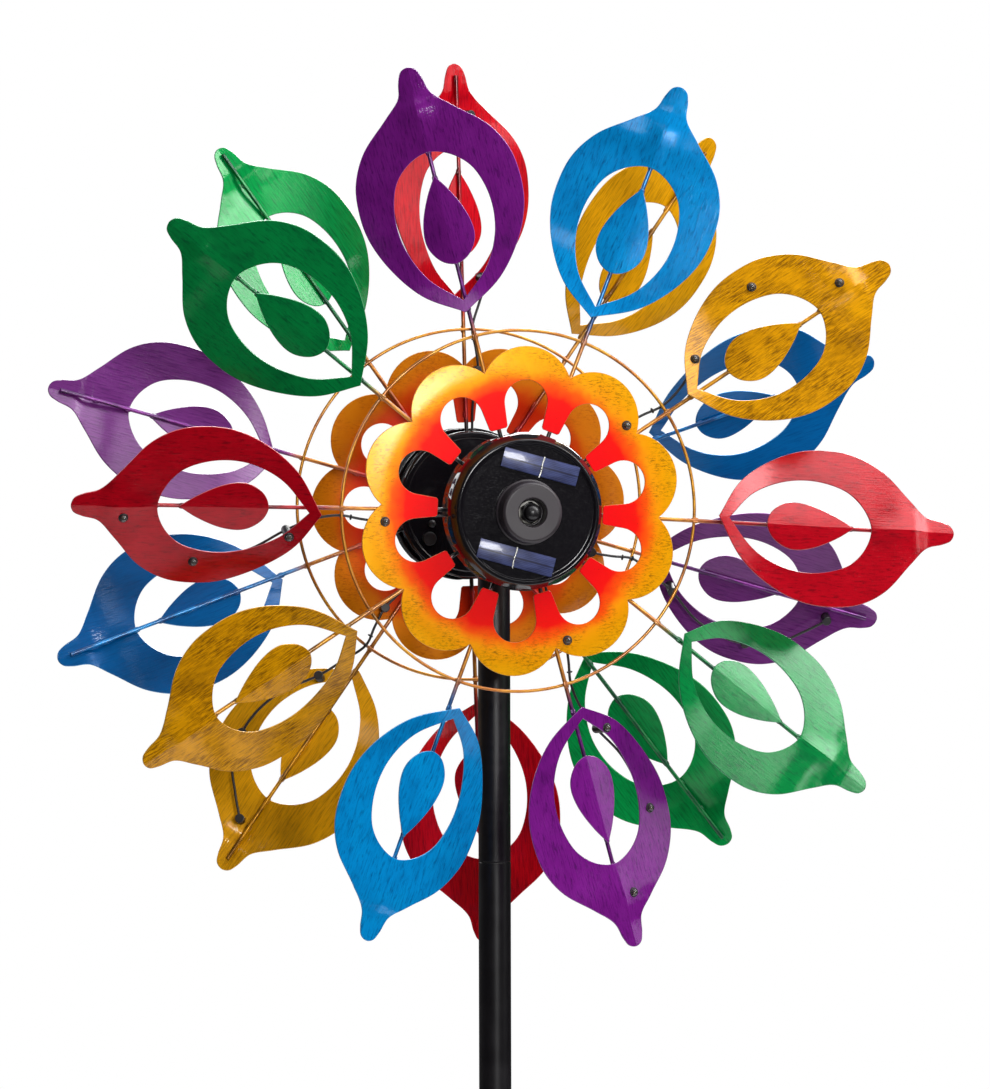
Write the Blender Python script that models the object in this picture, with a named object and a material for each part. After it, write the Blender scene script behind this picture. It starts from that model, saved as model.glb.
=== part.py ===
"""Dual-wheel kinetic wind spinner on a sectional garden pole with a three-pronged stake.

Metres, +Z up, the spinner's front faces -Y, and the origin is where the pole meets the
ground. Each wheel is modelled in its own axes, with +Z towards the wheel's own front and
the rods in the plane Z = 0, and hangs on an empty that lies on the axle. A petal is
modelled with +X along its rod, +Y across it and +Z towards the wheel's front.
"""

import math

import bmesh
import bpy
from mathutils import Matrix, Vector
from mathutils.geometry import delaunay_2d_cdt

GAP = 0.0003
SHEET = 0.0012

# Stand
AXLE_HEIGHT = 1.42
POLE_RADIUS = 0.011
POLE_WALL = 0.0012
NECK_LENGTH = 0.040
HEAD_RISE = 0.0135
HEAD_LENGTH = 0.241
SECTION_LENGTH = 0.520
PRONG_DEPTH = 0.180
PRONG_SPREAD = 0.085
PRONG_RADIUS = 0.005
PRONG_TAPER = 0.030
STEP_PLATE = (0.200, 0.030, 0.006)
SCREW_RADIUS = 0.0019
SCREW_DROP = 0.020
SCREW_END = 0.0075
SCREW_HEAD_RADIUS = 0.0036
SCREW_HEAD_HEIGHT = 0.0026
POLE_STEPS = 18

# Axle
AXLE_RADIUS = 0.0040
BORE_RADIUS = 0.0044
CROSS_TUBE_RADIUS = 0.0080
CROSS_TUBE_HALF = 0.045
WHEEL_OFFSET = 0.081
NUT_SEAT = 0.0323
NUT_RADIUS = 0.0074
NUT_THICKNESS = 0.0050
NUT_BORE_DEPTH = 0.0074
DOME_HEIGHT = 0.0115
AXLE_IN_NUT = 0.0070
SPACER_RADIUS = 0.0070
SPACER_PLAY = 0.0004

# Wheel
ROD_COUNT = 10
ROD_STEP = 2 * math.pi / ROD_COUNT
ROD_RADIUS = 0.0014
ROD_END = 0.296
RING_RADIUS = 0.121
RING_WIRE = 0.0011
INNER_RING_RADIUS = 0.040
PETAL_TILT = math.radians(21)
FRONT_PHASE = math.radians(104.8)
REAR_PHASE = math.radians(196.6)
# How far each rod was set off its even place by hand welding, in degrees
FRONT_SET = (-0.4, -0.4, -0.2, -0.4, 0.4, 0.15, 0.7, -0.05, 1.75, -0.15)
REAR_SET = (-0.4, 1.0, 0.25, -0.15, 2.0, -0.8, -0.4, 0.5, -0.65, -0.2)
# How far each petal was set out along its rod by hand welding
FRONT_REACH = (0.0016, 0.0004, 0.0, -0.0025, 0.0011, 0.0, 0.0008, 0.0007, 0.0, 0.0022)
REAR_REACH = (0.0, 0.0026, 0.0028, 0.0, -0.0034, 0.0, 0.0012, 0.0, 0.0, -0.0022)
COLOUR_ORDER = ("purple", "blue", "gold", "red", "green")

# Petal: (distance from its inner point, half width), from the inner point to the tip
PETAL_START = 0.137
PETAL_HALF = (
    (0.000, 0.0000), (0.017, 0.0270), (0.040, 0.0450), (0.062, 0.0541), (0.082, 0.0557),
    (0.100, 0.0530), (0.118, 0.0430), (0.136, 0.0232), (0.148, 0.0112), (0.159, 0.0080),
    (0.165, 0.0050), (0.167, 0.0000),
)
OPENING_HALF = (
    (0.0080, 0.0000), (0.026, 0.0197), (0.045, 0.0297), (0.062, 0.0330), (0.079, 0.0315),
    (0.094, 0.0255), (0.1045, 0.0140), (0.109, 0.0000),
)
LEAF_HALF = (
    (0.034, 0.0000), (0.037, 0.0085), (0.045, 0.0150), (0.053, 0.0170), (0.066, 0.0150),
    (0.082, 0.0080), (0.0946, 0.0000),
)
PETAL_EDGE_DROP = 0.0042
PETAL_WIDEST = 0.0560
LEAF_EDGE_DROP = 0.0018
LEAF_WIDEST = 0.017
LEAF_WELD = 0.0005

# Flower
FLOWER_LOBE_CENTRE = 0.0791
FLOWER_LOBE_RADIUS = 0.0315
FLOWER_LOBE_HALF_ANGLE = math.radians(69)
FLOWER_HOLE_CENTRE = 0.0734
FLOWER_HOLE_RADIUS = 0.0146
FLOWER_HOLE_HALF_ANGLE = math.radians(100)
FLOWER_LEG_END = 0.0565
FLOWER_LEG_HALF = 0.00635

# Light strings: lamp places as (distance from the axle, distance across the rod)
FLOWER_LAMP = (0.0922, 0.0085)
PETAL_LAMPS = ((0.1565, 0.0185), (0.2186, 0.0400), (0.2685, 0.0080))
LAMP_RADIUS = 0.0024
LAMP_HOLE_RADIUS = 0.0030
LAMP_SOCKET_RADIUS = 0.0032
LAMP_PROUD = 0.0035
FLOWER_LAMP_DEPTH = -0.0045
PETAL_LAMP_DEPTHS = (-0.0052, -0.0072, -0.0045)
SOCKET_OVERLAP = 0.0013
SOCKET_GAP = 0.0012
CABLE_RADIUS = 0.0009
FRONT_STRING_RODS = (2, 5, 8)
REAR_STRING_RODS = (0, 3, 7)

# Hub, heights along the wheel's +Z
HUB_BACK = -0.012
HUB_RADIUS = 0.0508
HUB_WALL = 0.0018
SHELL_RADIUS = 0.0525
SHELL_SKIRT_END = 0.003
SHELL_SHOULDER = 0.018
SHELL_LIP = 0.0275
SHELL_LIP_RADIUS = 0.0472
FACE_HEIGHT = 0.026
COLLAR_RADIUS = 0.0208
COLLAR_TOP = 0.041
COLLAR_FLOOR = 0.0312
COLLAR_HOLE = 0.0150
SLEEVE_RADIUS = 0.0077
SLEEVE_BACK = -0.014
SLEEVE_FRONT = 0.0315
NOTCH_HALF = 0.005
COVER_NOTCH = (-0.0022, 0.0200)
SHELL_NOTCH = (-0.0040, 0.0062)
COVER_RIM = 0.0085
COVER_BOSS_TOP = 0.0040
COVER_BOSS_WALL = 0.0027
SPIGOT_END = 0.0205
RECESS_RADIUS = 0.0095
RECESS_TAPER = 0.0005
ROUND_STEPS = 30
CELL_SIZE = (0.053, 0.013, 0.001)
CELL_OFFSET = 0.0314
CELL_TURN = math.radians(-30.3)
BATTERY_RADIUS = 0.00525
BATTERY_LENGTH = 0.0445
BATTERY_HEIGHT = 0.0105
BOARD_SIZE = (0.020, 0.036, 0.0016)
BOARD_HEIGHT = 0.0070
INNER_OFFSET = 0.024
BUTTON_OFFSET = 0.038
BUTTON_RADIUS = 0.0046
BUTTON_PROUD = 0.0022
BUTTON_CLEARANCE = 0.0005
BUTTON_SEAT = 0.0060
BUTTON_TURN = -6.5 * ROD_STEP

PAINTS = {
    "purple": ((0.16, 0.01, 0.22, 1), 0.25, 0.6),
    "blue": ((0.0, 0.16, 0.52, 1), 0.25, 0.6),
    "gold": ((0.68, 0.30, 0.01, 1), 0.25, 0.6),
    "red": ((0.48, 0.0, 0.01, 1), 0.25, 0.6),
    "green": ((0.0, 0.26, 0.05, 1), 0.25, 0.6),
    "amber": ((0.85, 0.33, 0.01, 1), 0.25, 0.6),
    "copper": ((0.52, 0.24, 0.06, 1), 0.35, 0.8),
    "gloss_black": ((0.010, 0.009, 0.012, 1), 0.15, 0.0),
    "satin_black": ((0.012, 0.010, 0.013, 1), 0.40, 0.3),
    "collar_grey": ((0.055, 0.047, 0.055, 1), 0.50, 0.0),
    "cell_blue": ((0.02, 0.03, 0.13, 1), 0.25, 0.2),
    "steel": ((0.55, 0.55, 0.57, 1), 0.30, 1.0),
    "nylon": ((0.75, 0.74, 0.70, 1), 0.50, 0.0),
    "cable_black": ((0.01, 0.01, 0.01, 1), 0.50, 0.0),
    "battery_green": ((0.02, 0.30, 0.12, 1), 0.35, 0.0),
    "board_green": ((0.01, 0.16, 0.06, 1), 0.45, 0.0),
}


def clear_scene():
    for obj in list(bpy.data.objects):
        bpy.data.objects.remove(obj)


def paint(name):
    if name in bpy.data.materials:
        return bpy.data.materials[name]
    colour, roughness, metallic = PAINTS[name]
    made = bpy.data.materials.new(name)
    made.use_nodes = True
    shader = made.node_tree.nodes["Principled BSDF"]
    shader.inputs["Base Color"].default_value = colour
    shader.inputs["Roughness"].default_value = roughness
    shader.inputs["Metallic"].default_value = metallic
    return made


def place(name, bm, colour, parent=None, matrix=None):
    """An object of its own from a bmesh, with outward faces and one material."""
    bmesh.ops.recalc_face_normals(bm, faces=bm.faces[:])
    mesh = bpy.data.meshes.new(name)
    bm.to_mesh(mesh)
    bm.free()
    mesh.materials.append(paint(colour))
    mesh.shade_smooth()
    mesh.set_sharp_from_angle(angle=math.radians(35))
    obj = bpy.data.objects.new(name, mesh)
    bpy.context.scene.collection.objects.link(obj)
    obj.parent = parent
    if matrix is not None:
        obj.matrix_basis = matrix
    return obj


def combine(obj, bm, operation):
    """Cuts the shape in bm from the object, or joins it to the object, and keeps the result."""
    colour = obj.active_material
    tool = place("tool", bm, "steel", obj.parent, obj.matrix_basis.copy())
    tool.hide_render = True
    tool.display_type = "WIRE"
    step = obj.modifiers.new("combine", "BOOLEAN")
    step.operation = operation
    step.object = tool
    step.use_self = operation == "UNION"
    graph = bpy.context.evaluated_depsgraph_get()
    result = bpy.data.meshes.new_from_object(obj.evaluated_get(graph))
    obj.modifiers.remove(step)
    obj.data = result
    result.materials.clear()
    result.materials.append(colour)
    bpy.data.objects.remove(tool)


def turned(bm, profile, steps, closed=True, matrix=None):
    """A profile of (radius, height) points spun about Z, joined end to end where closed."""
    corners = [bm.verts.new((radius, 0, height)) for radius, height in profile]
    pairs = list(zip(corners, corners[1:]))
    if closed:
        pairs.append((corners[-1], corners[0]))
    edges = [bm.edges.new(pair) for pair in pairs]
    bmesh.ops.spin(
        bm, geom=corners + edges, cent=(0, 0, 0), axis=(0, 0, 1),
        angle=2 * math.pi, steps=steps, use_merge=True,
    )
    group = [v for v in bm.verts if not v.tag]
    bmesh.ops.remove_doubles(bm, verts=group, dist=1e-6)
    group = [v for v in bm.verts if not v.tag]
    if matrix is not None:
        bmesh.ops.transform(bm, matrix=matrix, verts=group)
    for vert in group:
        vert.tag = True


def rod(bm, radius, start, end, sides):
    """A straight round bar between two points."""
    along = Vector(end) - Vector(start)
    turn = along.to_track_quat("Z", "Y").to_matrix().to_4x4()
    made = bmesh.ops.create_cone(
        bm, cap_ends=True, segments=sides, radius1=radius, radius2=radius, depth=along.length,
        matrix=Matrix.Translation((Vector(start) + Vector(end)) / 2) @ turn,
    )
    for vert in made["verts"]:
        vert.tag = True


def block(bm, size, centre, turn=0.0):
    made = bmesh.ops.create_cube(
        bm, size=1,
        matrix=Matrix.Rotation(turn, 4, "Z") @ Matrix.Translation(centre) @ Matrix.Diagonal((*size, 1)),
    )
    for vert in made["verts"]:
        vert.tag = True


def circle(centre, radius, count, start=0.0, sweep=2 * math.pi):
    """Points round a circle, or round part of it with both ends included."""
    steps = count if sweep == 2 * math.pi else count - 1
    angles = [start + sweep * i / steps for i in range(count)]
    return [(centre[0] + radius * math.cos(a), centre[1] + radius * math.sin(a)) for a in angles]


def turned_points(points, angle):
    c, s = math.cos(angle), math.sin(angle)
    return [(x * c - y * s, x * s + y * c) for x, y in points]


def both_sides(half, start):
    """A closed outline from (distance, half width) points that begin and end on the rod's line."""
    lower = [(start + along, -width) for along, width in half]
    upper = [(start + along, width) for along, width in reversed(half[1:-1])]
    return lower + upper


def on_sheet(x, y, loops):
    """Even-odd test of a plan point against an outline and its holes."""
    inside = False
    for loop in loops:
        for (ax, ay), (bx, by) in zip(loop, loop[1:] + loop[:1]):
            if (ay > y) != (by > y) and x < ax + (y - ay) * (bx - ax) / (by - ay):
                inside = not inside
    return inside


def sheet(bm, loops, creases, height, matrix=None):
    """Sheet metal: an outline with holes, bent along its creases. height(x, y) is its back face."""
    points = []
    edges = []
    for loop in loops:
        first = len(points)
        points += loop
        edges += [(first + i, first + (i + 1) % len(loop)) for i in range(len(loop))]
    for crease in creases:
        first = len(points)
        points += crease
        edges += [(first + i, first + i + 1) for i in range(len(crease) - 1)]
    plan, _, triangles, *_ = delaunay_2d_cdt([Vector(p) for p in points], edges, [], 0, 1e-7)
    kept = [t for t in triangles if on_sheet(*(sum((plan[i] for i in t), Vector((0, 0))) / 3), loops)]
    back = {}
    front = {}
    for i in sorted({i for t in kept for i in t}):
        low = height(*plan[i])
        back[i] = bm.verts.new((*plan[i], low))
        front[i] = bm.verts.new((*plan[i], low + SHEET))
    sides = set()
    for a, b, c in kept:
        bm.faces.new((front[a], front[b], front[c]))
        bm.faces.new((back[c], back[b], back[a]))
        sides ^= {tuple(sorted(pair)) for pair in ((a, b), (b, c), (c, a))}
    for a, b in sorted(sides):
        bm.faces.new((front[a], front[b], back[b], back[a]))
    made = [*back.values(), *front.values()]
    if matrix is not None:
        bmesh.ops.transform(bm, matrix=matrix, verts=made)
    for vert in made:
        vert.tag = True


def tube(bm, route, radius, sides):
    """A round cable with closed ends along a route."""
    angles = [2 * math.pi * k / sides for k in range(sides)]
    rings = []
    side = Vector((0, 0, 1))
    for i, point in enumerate(route):
        along = (route[min(i + 1, len(route) - 1)] - route[max(i - 1, 0)]).normalized()
        side = (side - along * side.dot(along)).normalized()
        other = along.cross(side)
        spokes = [math.cos(a) * side + math.sin(a) * other for a in angles]
        rings.append([bm.verts.new(point + radius * spoke) for spoke in spokes])
    for first, second in zip(rings, rings[1:]):
        for k in range(sides):
            bm.faces.new((first[k], first[(k + 1) % sides], second[(k + 1) % sides], second[k]))
    bm.faces.new(rings[0][::-1])
    bm.faces.new(rings[-1])
    for ring in rings:
        for vert in ring:
            vert.tag = True


def petal_height(x, y):
    return ROD_RADIUS + GAP - PETAL_EDGE_DROP * (abs(y) / PETAL_WIDEST) ** 1.5


def leaf_height(x, y):
    return ROD_RADIUS - LEAF_WELD - LEAF_EDGE_DROP * (abs(y) / LEAF_WIDEST) ** 1.3


def flower_height(x, y):
    return ROD_RADIUS + GAP


def rod_angles(phase, offsets):
    """The angle of each rod in its wheel, going clockwise as the wheel's own front is seen."""
    return [phase - i * ROD_STEP + math.radians(offset) for i, offset in enumerate(offsets)]


def rod_frame(angle, tilt=0.0):
    """The axes of the rod at this angle in its wheel, with its petal tilted about it."""
    return Matrix.Rotation(angle, 4, "Z") @ Matrix.Rotation(tilt, 4, "X")


def make_petal(name, colour, wheel, frame, lit):
    loops = [both_sides(PETAL_HALF, PETAL_START), both_sides(OPENING_HALF, PETAL_START)]
    if lit:
        loops += [circle(lamp, LAMP_HOLE_RADIUS, 6) for lamp in PETAL_LAMPS]
    opening_start = PETAL_START + OPENING_HALF[0][0]
    opening_end = PETAL_START + OPENING_HALF[-1][0]
    tip = PETAL_START + PETAL_HALF[-1][0]
    middle = (opening_end + tip) / 2
    creases = [[(PETAL_START, 0.0), (opening_start, 0.0)], [(opening_end, 0.0), (middle, 0.0), (tip, 0.0)]]
    bm = bmesh.new()
    sheet(bm, loops, creases, petal_height)
    place(name, bm, colour, wheel, frame)


def make_flower(name, wheel, phase, string_angles):
    outer = []
    inner = []
    for i in range(ROD_COUNT):
        turn = phase + i * ROD_STEP
        lobe = circle(
            (FLOWER_LOBE_CENTRE, 0.0), FLOWER_LOBE_RADIUS, 6,
            -FLOWER_LOBE_HALF_ANGLE, 2 * FLOWER_LOBE_HALF_ANGLE,
        )
        hole = circle(
            (FLOWER_HOLE_CENTRE, 0.0), FLOWER_HOLE_RADIUS, 7,
            -FLOWER_HOLE_HALF_ANGLE, 2 * FLOWER_HOLE_HALF_ANGLE,
        )
        leg = [(FLOWER_LEG_END, -FLOWER_LEG_HALF), (FLOWER_LEG_END, FLOWER_LEG_HALF)]
        outer += turned_points(lobe[:-1], turn + ROD_STEP / 2)
        inner += turned_points(leg, turn) + turned_points(hole, turn + ROD_STEP / 2)
    lamps = [turned_points([FLOWER_LAMP], angle)[0] for angle in string_angles]
    bm = bmesh.new()
    sheet(bm, [outer, inner, *[circle(lamp, LAMP_HOLE_RADIUS, 6) for lamp in lamps]], [], flower_height)
    place(name, bm, "amber", wheel)


def make_spoke_frame(name, wheel, angles, tilt):
    """Ten rods, their ring of wire, the small ring that holds them in the hub and ten leaves, welded."""
    ring = circle((RING_RADIUS, -ROD_RADIUS - RING_WIRE + GAP), RING_WIRE, 6)
    bm = bmesh.new()
    turned(bm, ring, 32)
    frame = place(name, bm, "copper", wheel)
    bm = bmesh.new()
    turned(bm, circle((INNER_RING_RADIUS, -GAP), RING_WIRE, 4), 20)
    leaf_line = [(PETAL_START + LEAF_HALF[end][0], 0.0) for end in (0, -1)]
    for angle in angles:
        turn = rod_frame(angle, tilt)
        rod(bm, ROD_RADIUS, turn @ Vector((INNER_RING_RADIUS, 0, 0)), turn @ Vector((ROD_END, 0, 0)), 6)
        sheet(bm, [both_sides(LEAF_HALF, PETAL_START)], [leaf_line], leaf_height, turn)
    combine(frame, bm, "UNION")


def string_route(angle, tilt):
    """The cable's way out of the hub, past the ring and round the arm of one petal, behind the sheet."""
    flat = rod_frame(angle)
    tilted = rod_frame(angle, tilt)
    near = [
        (0.0445, 0.0036, 0.0000), (0.0540, 0.0040, -0.0004), (0.0700, 0.0045, -0.0025),
        (0.0815, 0.0065, -0.0040), (0.0922, 0.0085, -0.0045), (0.1070, 0.0072, -0.0052),
        (0.1210, 0.0050, -0.0056),
    ]
    far = [
        (0.1380, 0.0100, -0.0050), (0.1565, 0.0185, -0.0052), (0.1790, 0.0330, -0.0064),
        (0.2000, 0.0395, -0.0072), (0.2186, 0.0400, -0.0072), (0.2380, 0.0350, -0.0064),
        (0.2550, 0.0210, -0.0054), (0.2685, 0.0080, -0.0045),
    ]
    return [flat @ Vector(p) for p in near] + [tilted @ Vector(p) for p in far]


def make_light_string(name, wheel, angle, tilt):
    bm = bmesh.new()
    tube(bm, string_route(angle, tilt), CABLE_RADIUS, 5)
    string = place(name, bm, "cable_black", wheel)
    bm = bmesh.new()
    lamps = [(FLOWER_LAMP, rod_frame(angle), flower_height, FLOWER_LAMP_DEPTH)]
    for lamp, depth in zip(PETAL_LAMPS, PETAL_LAMP_DEPTHS):
        lamps.append((lamp, rod_frame(angle, tilt), petal_height, depth))
    for (x, y), turn, height, depth in lamps:
        back = height(x, y)
        profile = [
            (0, depth - SOCKET_OVERLAP), (LAMP_SOCKET_RADIUS, depth - SOCKET_OVERLAP),
            (LAMP_SOCKET_RADIUS, back - SOCKET_GAP), (LAMP_RADIUS, back - SOCKET_GAP),
            (LAMP_RADIUS, back + SHEET + LAMP_PROUD / 3),
            (0.6 * LAMP_RADIUS, back + SHEET + 0.85 * LAMP_PROUD), (0, back + SHEET + LAMP_PROUD),
        ]
        turned(bm, profile, 6, False, turn @ Matrix.Translation((x, y, 0)))
    combine(string, bm, "UNION")


def spoke_notches(obj, angles, low, high):
    """Cuts the slots where the rods and the cables leave the hub."""
    bm = bmesh.new()
    size = (0.012, 2 * NOTCH_HALF, high - low)
    for angle in angles:
        block(bm, size, (HUB_RADIUS, 0, (low + high) / 2), angle)
    combine(obj, bm, "DIFFERENCE")


def make_back_cover(prefix, wheel, angles, button_at):
    floor = HUB_BACK + HUB_WALL
    bore = SLEEVE_RADIUS + GAP
    bm = bmesh.new()
    turned(bm, [
        (bore, HUB_BACK), (HUB_RADIUS - 0.002, HUB_BACK), (HUB_RADIUS, HUB_BACK + 0.002),
        (HUB_RADIUS, COVER_RIM), (HUB_RADIUS - HUB_WALL, COVER_RIM), (HUB_RADIUS - HUB_WALL, floor),
        (bore + COVER_BOSS_WALL, floor), (bore + COVER_BOSS_WALL, COVER_BOSS_TOP), (bore, COVER_BOSS_TOP),
    ], ROUND_STEPS)
    back = place(prefix + "hub_back_cover", bm, "gloss_black", wheel)
    spoke_notches(back, angles, *COVER_NOTCH)
    bm = bmesh.new()
    hole = BUTTON_RADIUS + BUTTON_CLEARANCE
    rod(bm, hole, (*button_at, HUB_BACK - HUB_WALL), (*button_at, floor + HUB_WALL), 14)
    combine(back, bm, "DIFFERENCE")


def make_front_shell(prefix, wheel, angles):
    inner = HUB_RADIUS + GAP
    bm = bmesh.new()
    turned(bm, [
        (inner, SHELL_SKIRT_END), (SHELL_RADIUS, SHELL_SKIRT_END), (SHELL_RADIUS, SHELL_SHOULDER),
        (SHELL_RADIUS - 0.0012, SHELL_SHOULDER + 0.0030), (SHELL_LIP_RADIUS + 0.0008, SHELL_LIP),
        (SHELL_LIP_RADIUS, SHELL_LIP), (SHELL_LIP_RADIUS, FACE_HEIGHT), (COLLAR_HOLE, FACE_HEIGHT),
        (COLLAR_HOLE, FACE_HEIGHT - HUB_WALL), (SHELL_LIP_RADIUS, FACE_HEIGHT - HUB_WALL),
        (inner, SHELL_SHOULDER),
    ], ROUND_STEPS)
    shell = place(prefix + "hub_front_shell", bm, "gloss_black", wheel)
    spoke_notches(shell, angles, *SHELL_NOTCH)


def make_collar(prefix, wheel):
    spigot = COLLAR_HOLE - GAP
    bore = SLEEVE_RADIUS + GAP
    seat = FACE_HEIGHT + GAP
    bm = bmesh.new()
    turned(bm, [
        (bore, SPIGOT_END), (spigot, SPIGOT_END), (spigot, seat), (COLLAR_RADIUS + 0.001, seat),
        (COLLAR_RADIUS, COLLAR_TOP - 0.001), (COLLAR_RADIUS - 0.001, COLLAR_TOP),
        (RECESS_RADIUS, COLLAR_TOP), (RECESS_RADIUS - RECESS_TAPER, COLLAR_FLOOR), (bore, COLLAR_FLOOR),
    ], 20)
    place(prefix + "hub_collar", bm, "collar_grey", wheel)


def make_bearing(prefix, wheel):
    bm = bmesh.new()
    turned(bm, [
        (BORE_RADIUS, SLEEVE_BACK), (SLEEVE_RADIUS, SLEEVE_BACK), (SLEEVE_RADIUS, SLEEVE_FRONT),
        (BORE_RADIUS, SLEEVE_FRONT),
    ], 20)
    place(prefix + "bearing_sleeve", bm, "nylon", wheel)


def make_hub(prefix, wheel, phase, angles):
    turn = phase + BUTTON_TURN
    button_at = (BUTTON_OFFSET * math.cos(turn), BUTTON_OFFSET * math.sin(turn))
    make_back_cover(prefix, wheel, angles, button_at)
    make_front_shell(prefix, wheel, angles)
    make_collar(prefix, wheel)
    make_bearing(prefix, wheel)
    bm = bmesh.new()
    rod(bm, BUTTON_RADIUS, (*button_at, HUB_BACK - BUTTON_PROUD), (*button_at, HUB_BACK + BUTTON_SEAT), 14)
    place(prefix + "switch_button", bm, "satin_black", wheel)
    make_hub_inside(prefix, wheel, phase)


def make_hub_inside(prefix, wheel, phase):
    cell_angle = phase + CELL_TURN
    for number, side in ((1, 1), (2, -1)):
        bm = bmesh.new()
        lift = FACE_HEIGHT + GAP + CELL_SIZE[2] / 2
        size = (CELL_SIZE[1], CELL_SIZE[0], CELL_SIZE[2])
        block(bm, size, (side * CELL_OFFSET, 0, lift), cell_angle)
        place(f"{prefix}solar_cell_{number}", bm, "cell_blue", wheel)
    bm = bmesh.new()
    across = Matrix.Rotation(cell_angle, 4, "Z")
    ends = [across @ Vector((INNER_OFFSET, end * BATTERY_LENGTH / 2, BATTERY_HEIGHT)) for end in (-1, 1)]
    rod(bm, BATTERY_RADIUS, ends[0], ends[1], 14)
    place(prefix + "battery", bm, "battery_green", wheel)
    bm = bmesh.new()
    block(bm, BOARD_SIZE, (-INNER_OFFSET, 0, BOARD_HEIGHT), cell_angle)
    place(prefix + "circuit_board", bm, "board_green", wheel)


def make_wheel(prefix, side, phase, offsets, reach, tilt, string_rods):
    """One wheel on an empty at its axle; side is -1 in front of the pole and +1 behind it."""
    wheel = bpy.data.objects.new(prefix + "wheel_axis", None)
    bpy.context.scene.collection.objects.link(wheel)
    half_turn = Matrix.Rotation(math.pi if side > 0 else 0.0, 4, "Z")
    spot = Matrix.Translation((0, side * WHEEL_OFFSET, AXLE_HEIGHT))
    wheel.matrix_world = spot @ half_turn @ Matrix.Rotation(math.pi / 2, 4, "X")
    angles = rod_angles(phase, offsets)
    make_spoke_frame(prefix + "spoke_frame", wheel, angles, tilt)
    make_flower(prefix + "flower", wheel, phase, [angles[i] for i in string_rods])
    for i, angle in enumerate(angles):
        colour = COLOUR_ORDER[i % len(COLOUR_ORDER)]
        set_out = rod_frame(angle, tilt) @ Matrix.Translation((reach[i], 0, 0))
        make_petal(f"{prefix}petal_{i + 1}_{colour}", colour, wheel, set_out, i in string_rods)
    for number, i in enumerate(string_rods, 1):
        make_light_string(f"{prefix}light_string_{number}", wheel, angles[i], tilt)
    make_hub(prefix, wheel, phase, angles)


def screw_hole(obj, height):
    """A hole through the back of a pole section for the screw at this height."""
    bm = bmesh.new()
    rod(bm, SCREW_RADIUS + GAP, (0, 0.004, height), (0, POLE_RADIUS + 0.004, height), 10)
    combine(obj, bm, "DIFFERENCE")


def make_screw(name, height):
    head = POLE_RADIUS + GAP
    bm = bmesh.new()
    turned(bm, [
        (0, SCREW_END), (SCREW_RADIUS, SCREW_END), (SCREW_RADIUS, head), (SCREW_HEAD_RADIUS, head),
        (SCREW_HEAD_RADIUS, head + SCREW_HEAD_HEIGHT / 2), (SCREW_RADIUS, head + SCREW_HEAD_HEIGHT),
        (0, head + SCREW_HEAD_HEIGHT),
    ], 10, False, Matrix.Translation((0, 0, height)) @ Matrix.Rotation(-math.pi / 2, 4, "X"))
    place(name, bm, "satin_black")


def pole_section(name, top, bottom):
    """A tube with a narrowed neck at its top and an open socket at its bottom."""
    outer, socket = POLE_RADIUS, POLE_RADIUS - POLE_WALL
    neck = socket - GAP
    bore = neck - POLE_WALL
    bm = bmesh.new()
    turned(bm, [
        (bore, top + NECK_LENGTH), (neck, top + NECK_LENGTH), (neck, top - GAP), (outer, top - GAP),
        (outer, bottom), (socket, bottom), (socket, bottom + NECK_LENGTH + 0.002),
        (bore, bottom + NECK_LENGTH + 0.004),
    ], POLE_STEPS)
    section = place(name, bm, "satin_black")
    screw_hole(section, top + SCREW_DROP)
    screw_hole(section, bottom + SCREW_DROP)


def make_pole_head(top, bottom):
    inner = POLE_RADIUS - POLE_WALL
    bm = bmesh.new()
    turned(bm, [
        (0, top), (POLE_RADIUS - 0.001, top), (POLE_RADIUS, top - 0.001), (POLE_RADIUS, bottom),
        (inner, bottom), (inner, top - 0.002), (0, top - 0.002),
    ], POLE_STEPS, False)
    head = place("pole_head", bm, "satin_black")
    bm = bmesh.new()
    half = CROSS_TUBE_HALF
    rod(bm, CROSS_TUBE_RADIUS, (0, -half, AXLE_HEIGHT), (0, half, AXLE_HEIGHT), 16)
    combine(head, bm, "UNION")
    bm = bmesh.new()
    rod(bm, BORE_RADIUS, (0, -2 * half, AXLE_HEIGHT), (0, 2 * half, AXLE_HEIGHT), 16)
    combine(head, bm, "DIFFERENCE")
    screw_hole(head, bottom + SCREW_DROP)


def make_stake(top):
    neck = POLE_RADIUS - POLE_WALL - GAP
    bm = bmesh.new()
    turned(bm, [
        (0, top + NECK_LENGTH), (neck, top + NECK_LENGTH), (neck, top - GAP), (POLE_RADIUS, top - GAP),
        (POLE_RADIUS, 0.003), (0, 0.003),
    ], POLE_STEPS, False)
    stake = place("ground_stake", bm, "satin_black")
    length, width, thickness = STEP_PLATE
    bm = bmesh.new()
    block(bm, (length, width, thickness), (0, 0, thickness / 2))
    for x in (-PRONG_SPREAD, 0, PRONG_SPREAD):
        turned(bm, [
            (0, 0.004), (PRONG_RADIUS, 0.004), (PRONG_RADIUS, PRONG_TAPER - PRONG_DEPTH),
            (0.0012, -PRONG_DEPTH), (0, -PRONG_DEPTH),
        ], 10, False, Matrix.Translation((x, 0, 0)))
    combine(stake, bm, "UNION")
    screw_hole(stake, top + SCREW_DROP)


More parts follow.
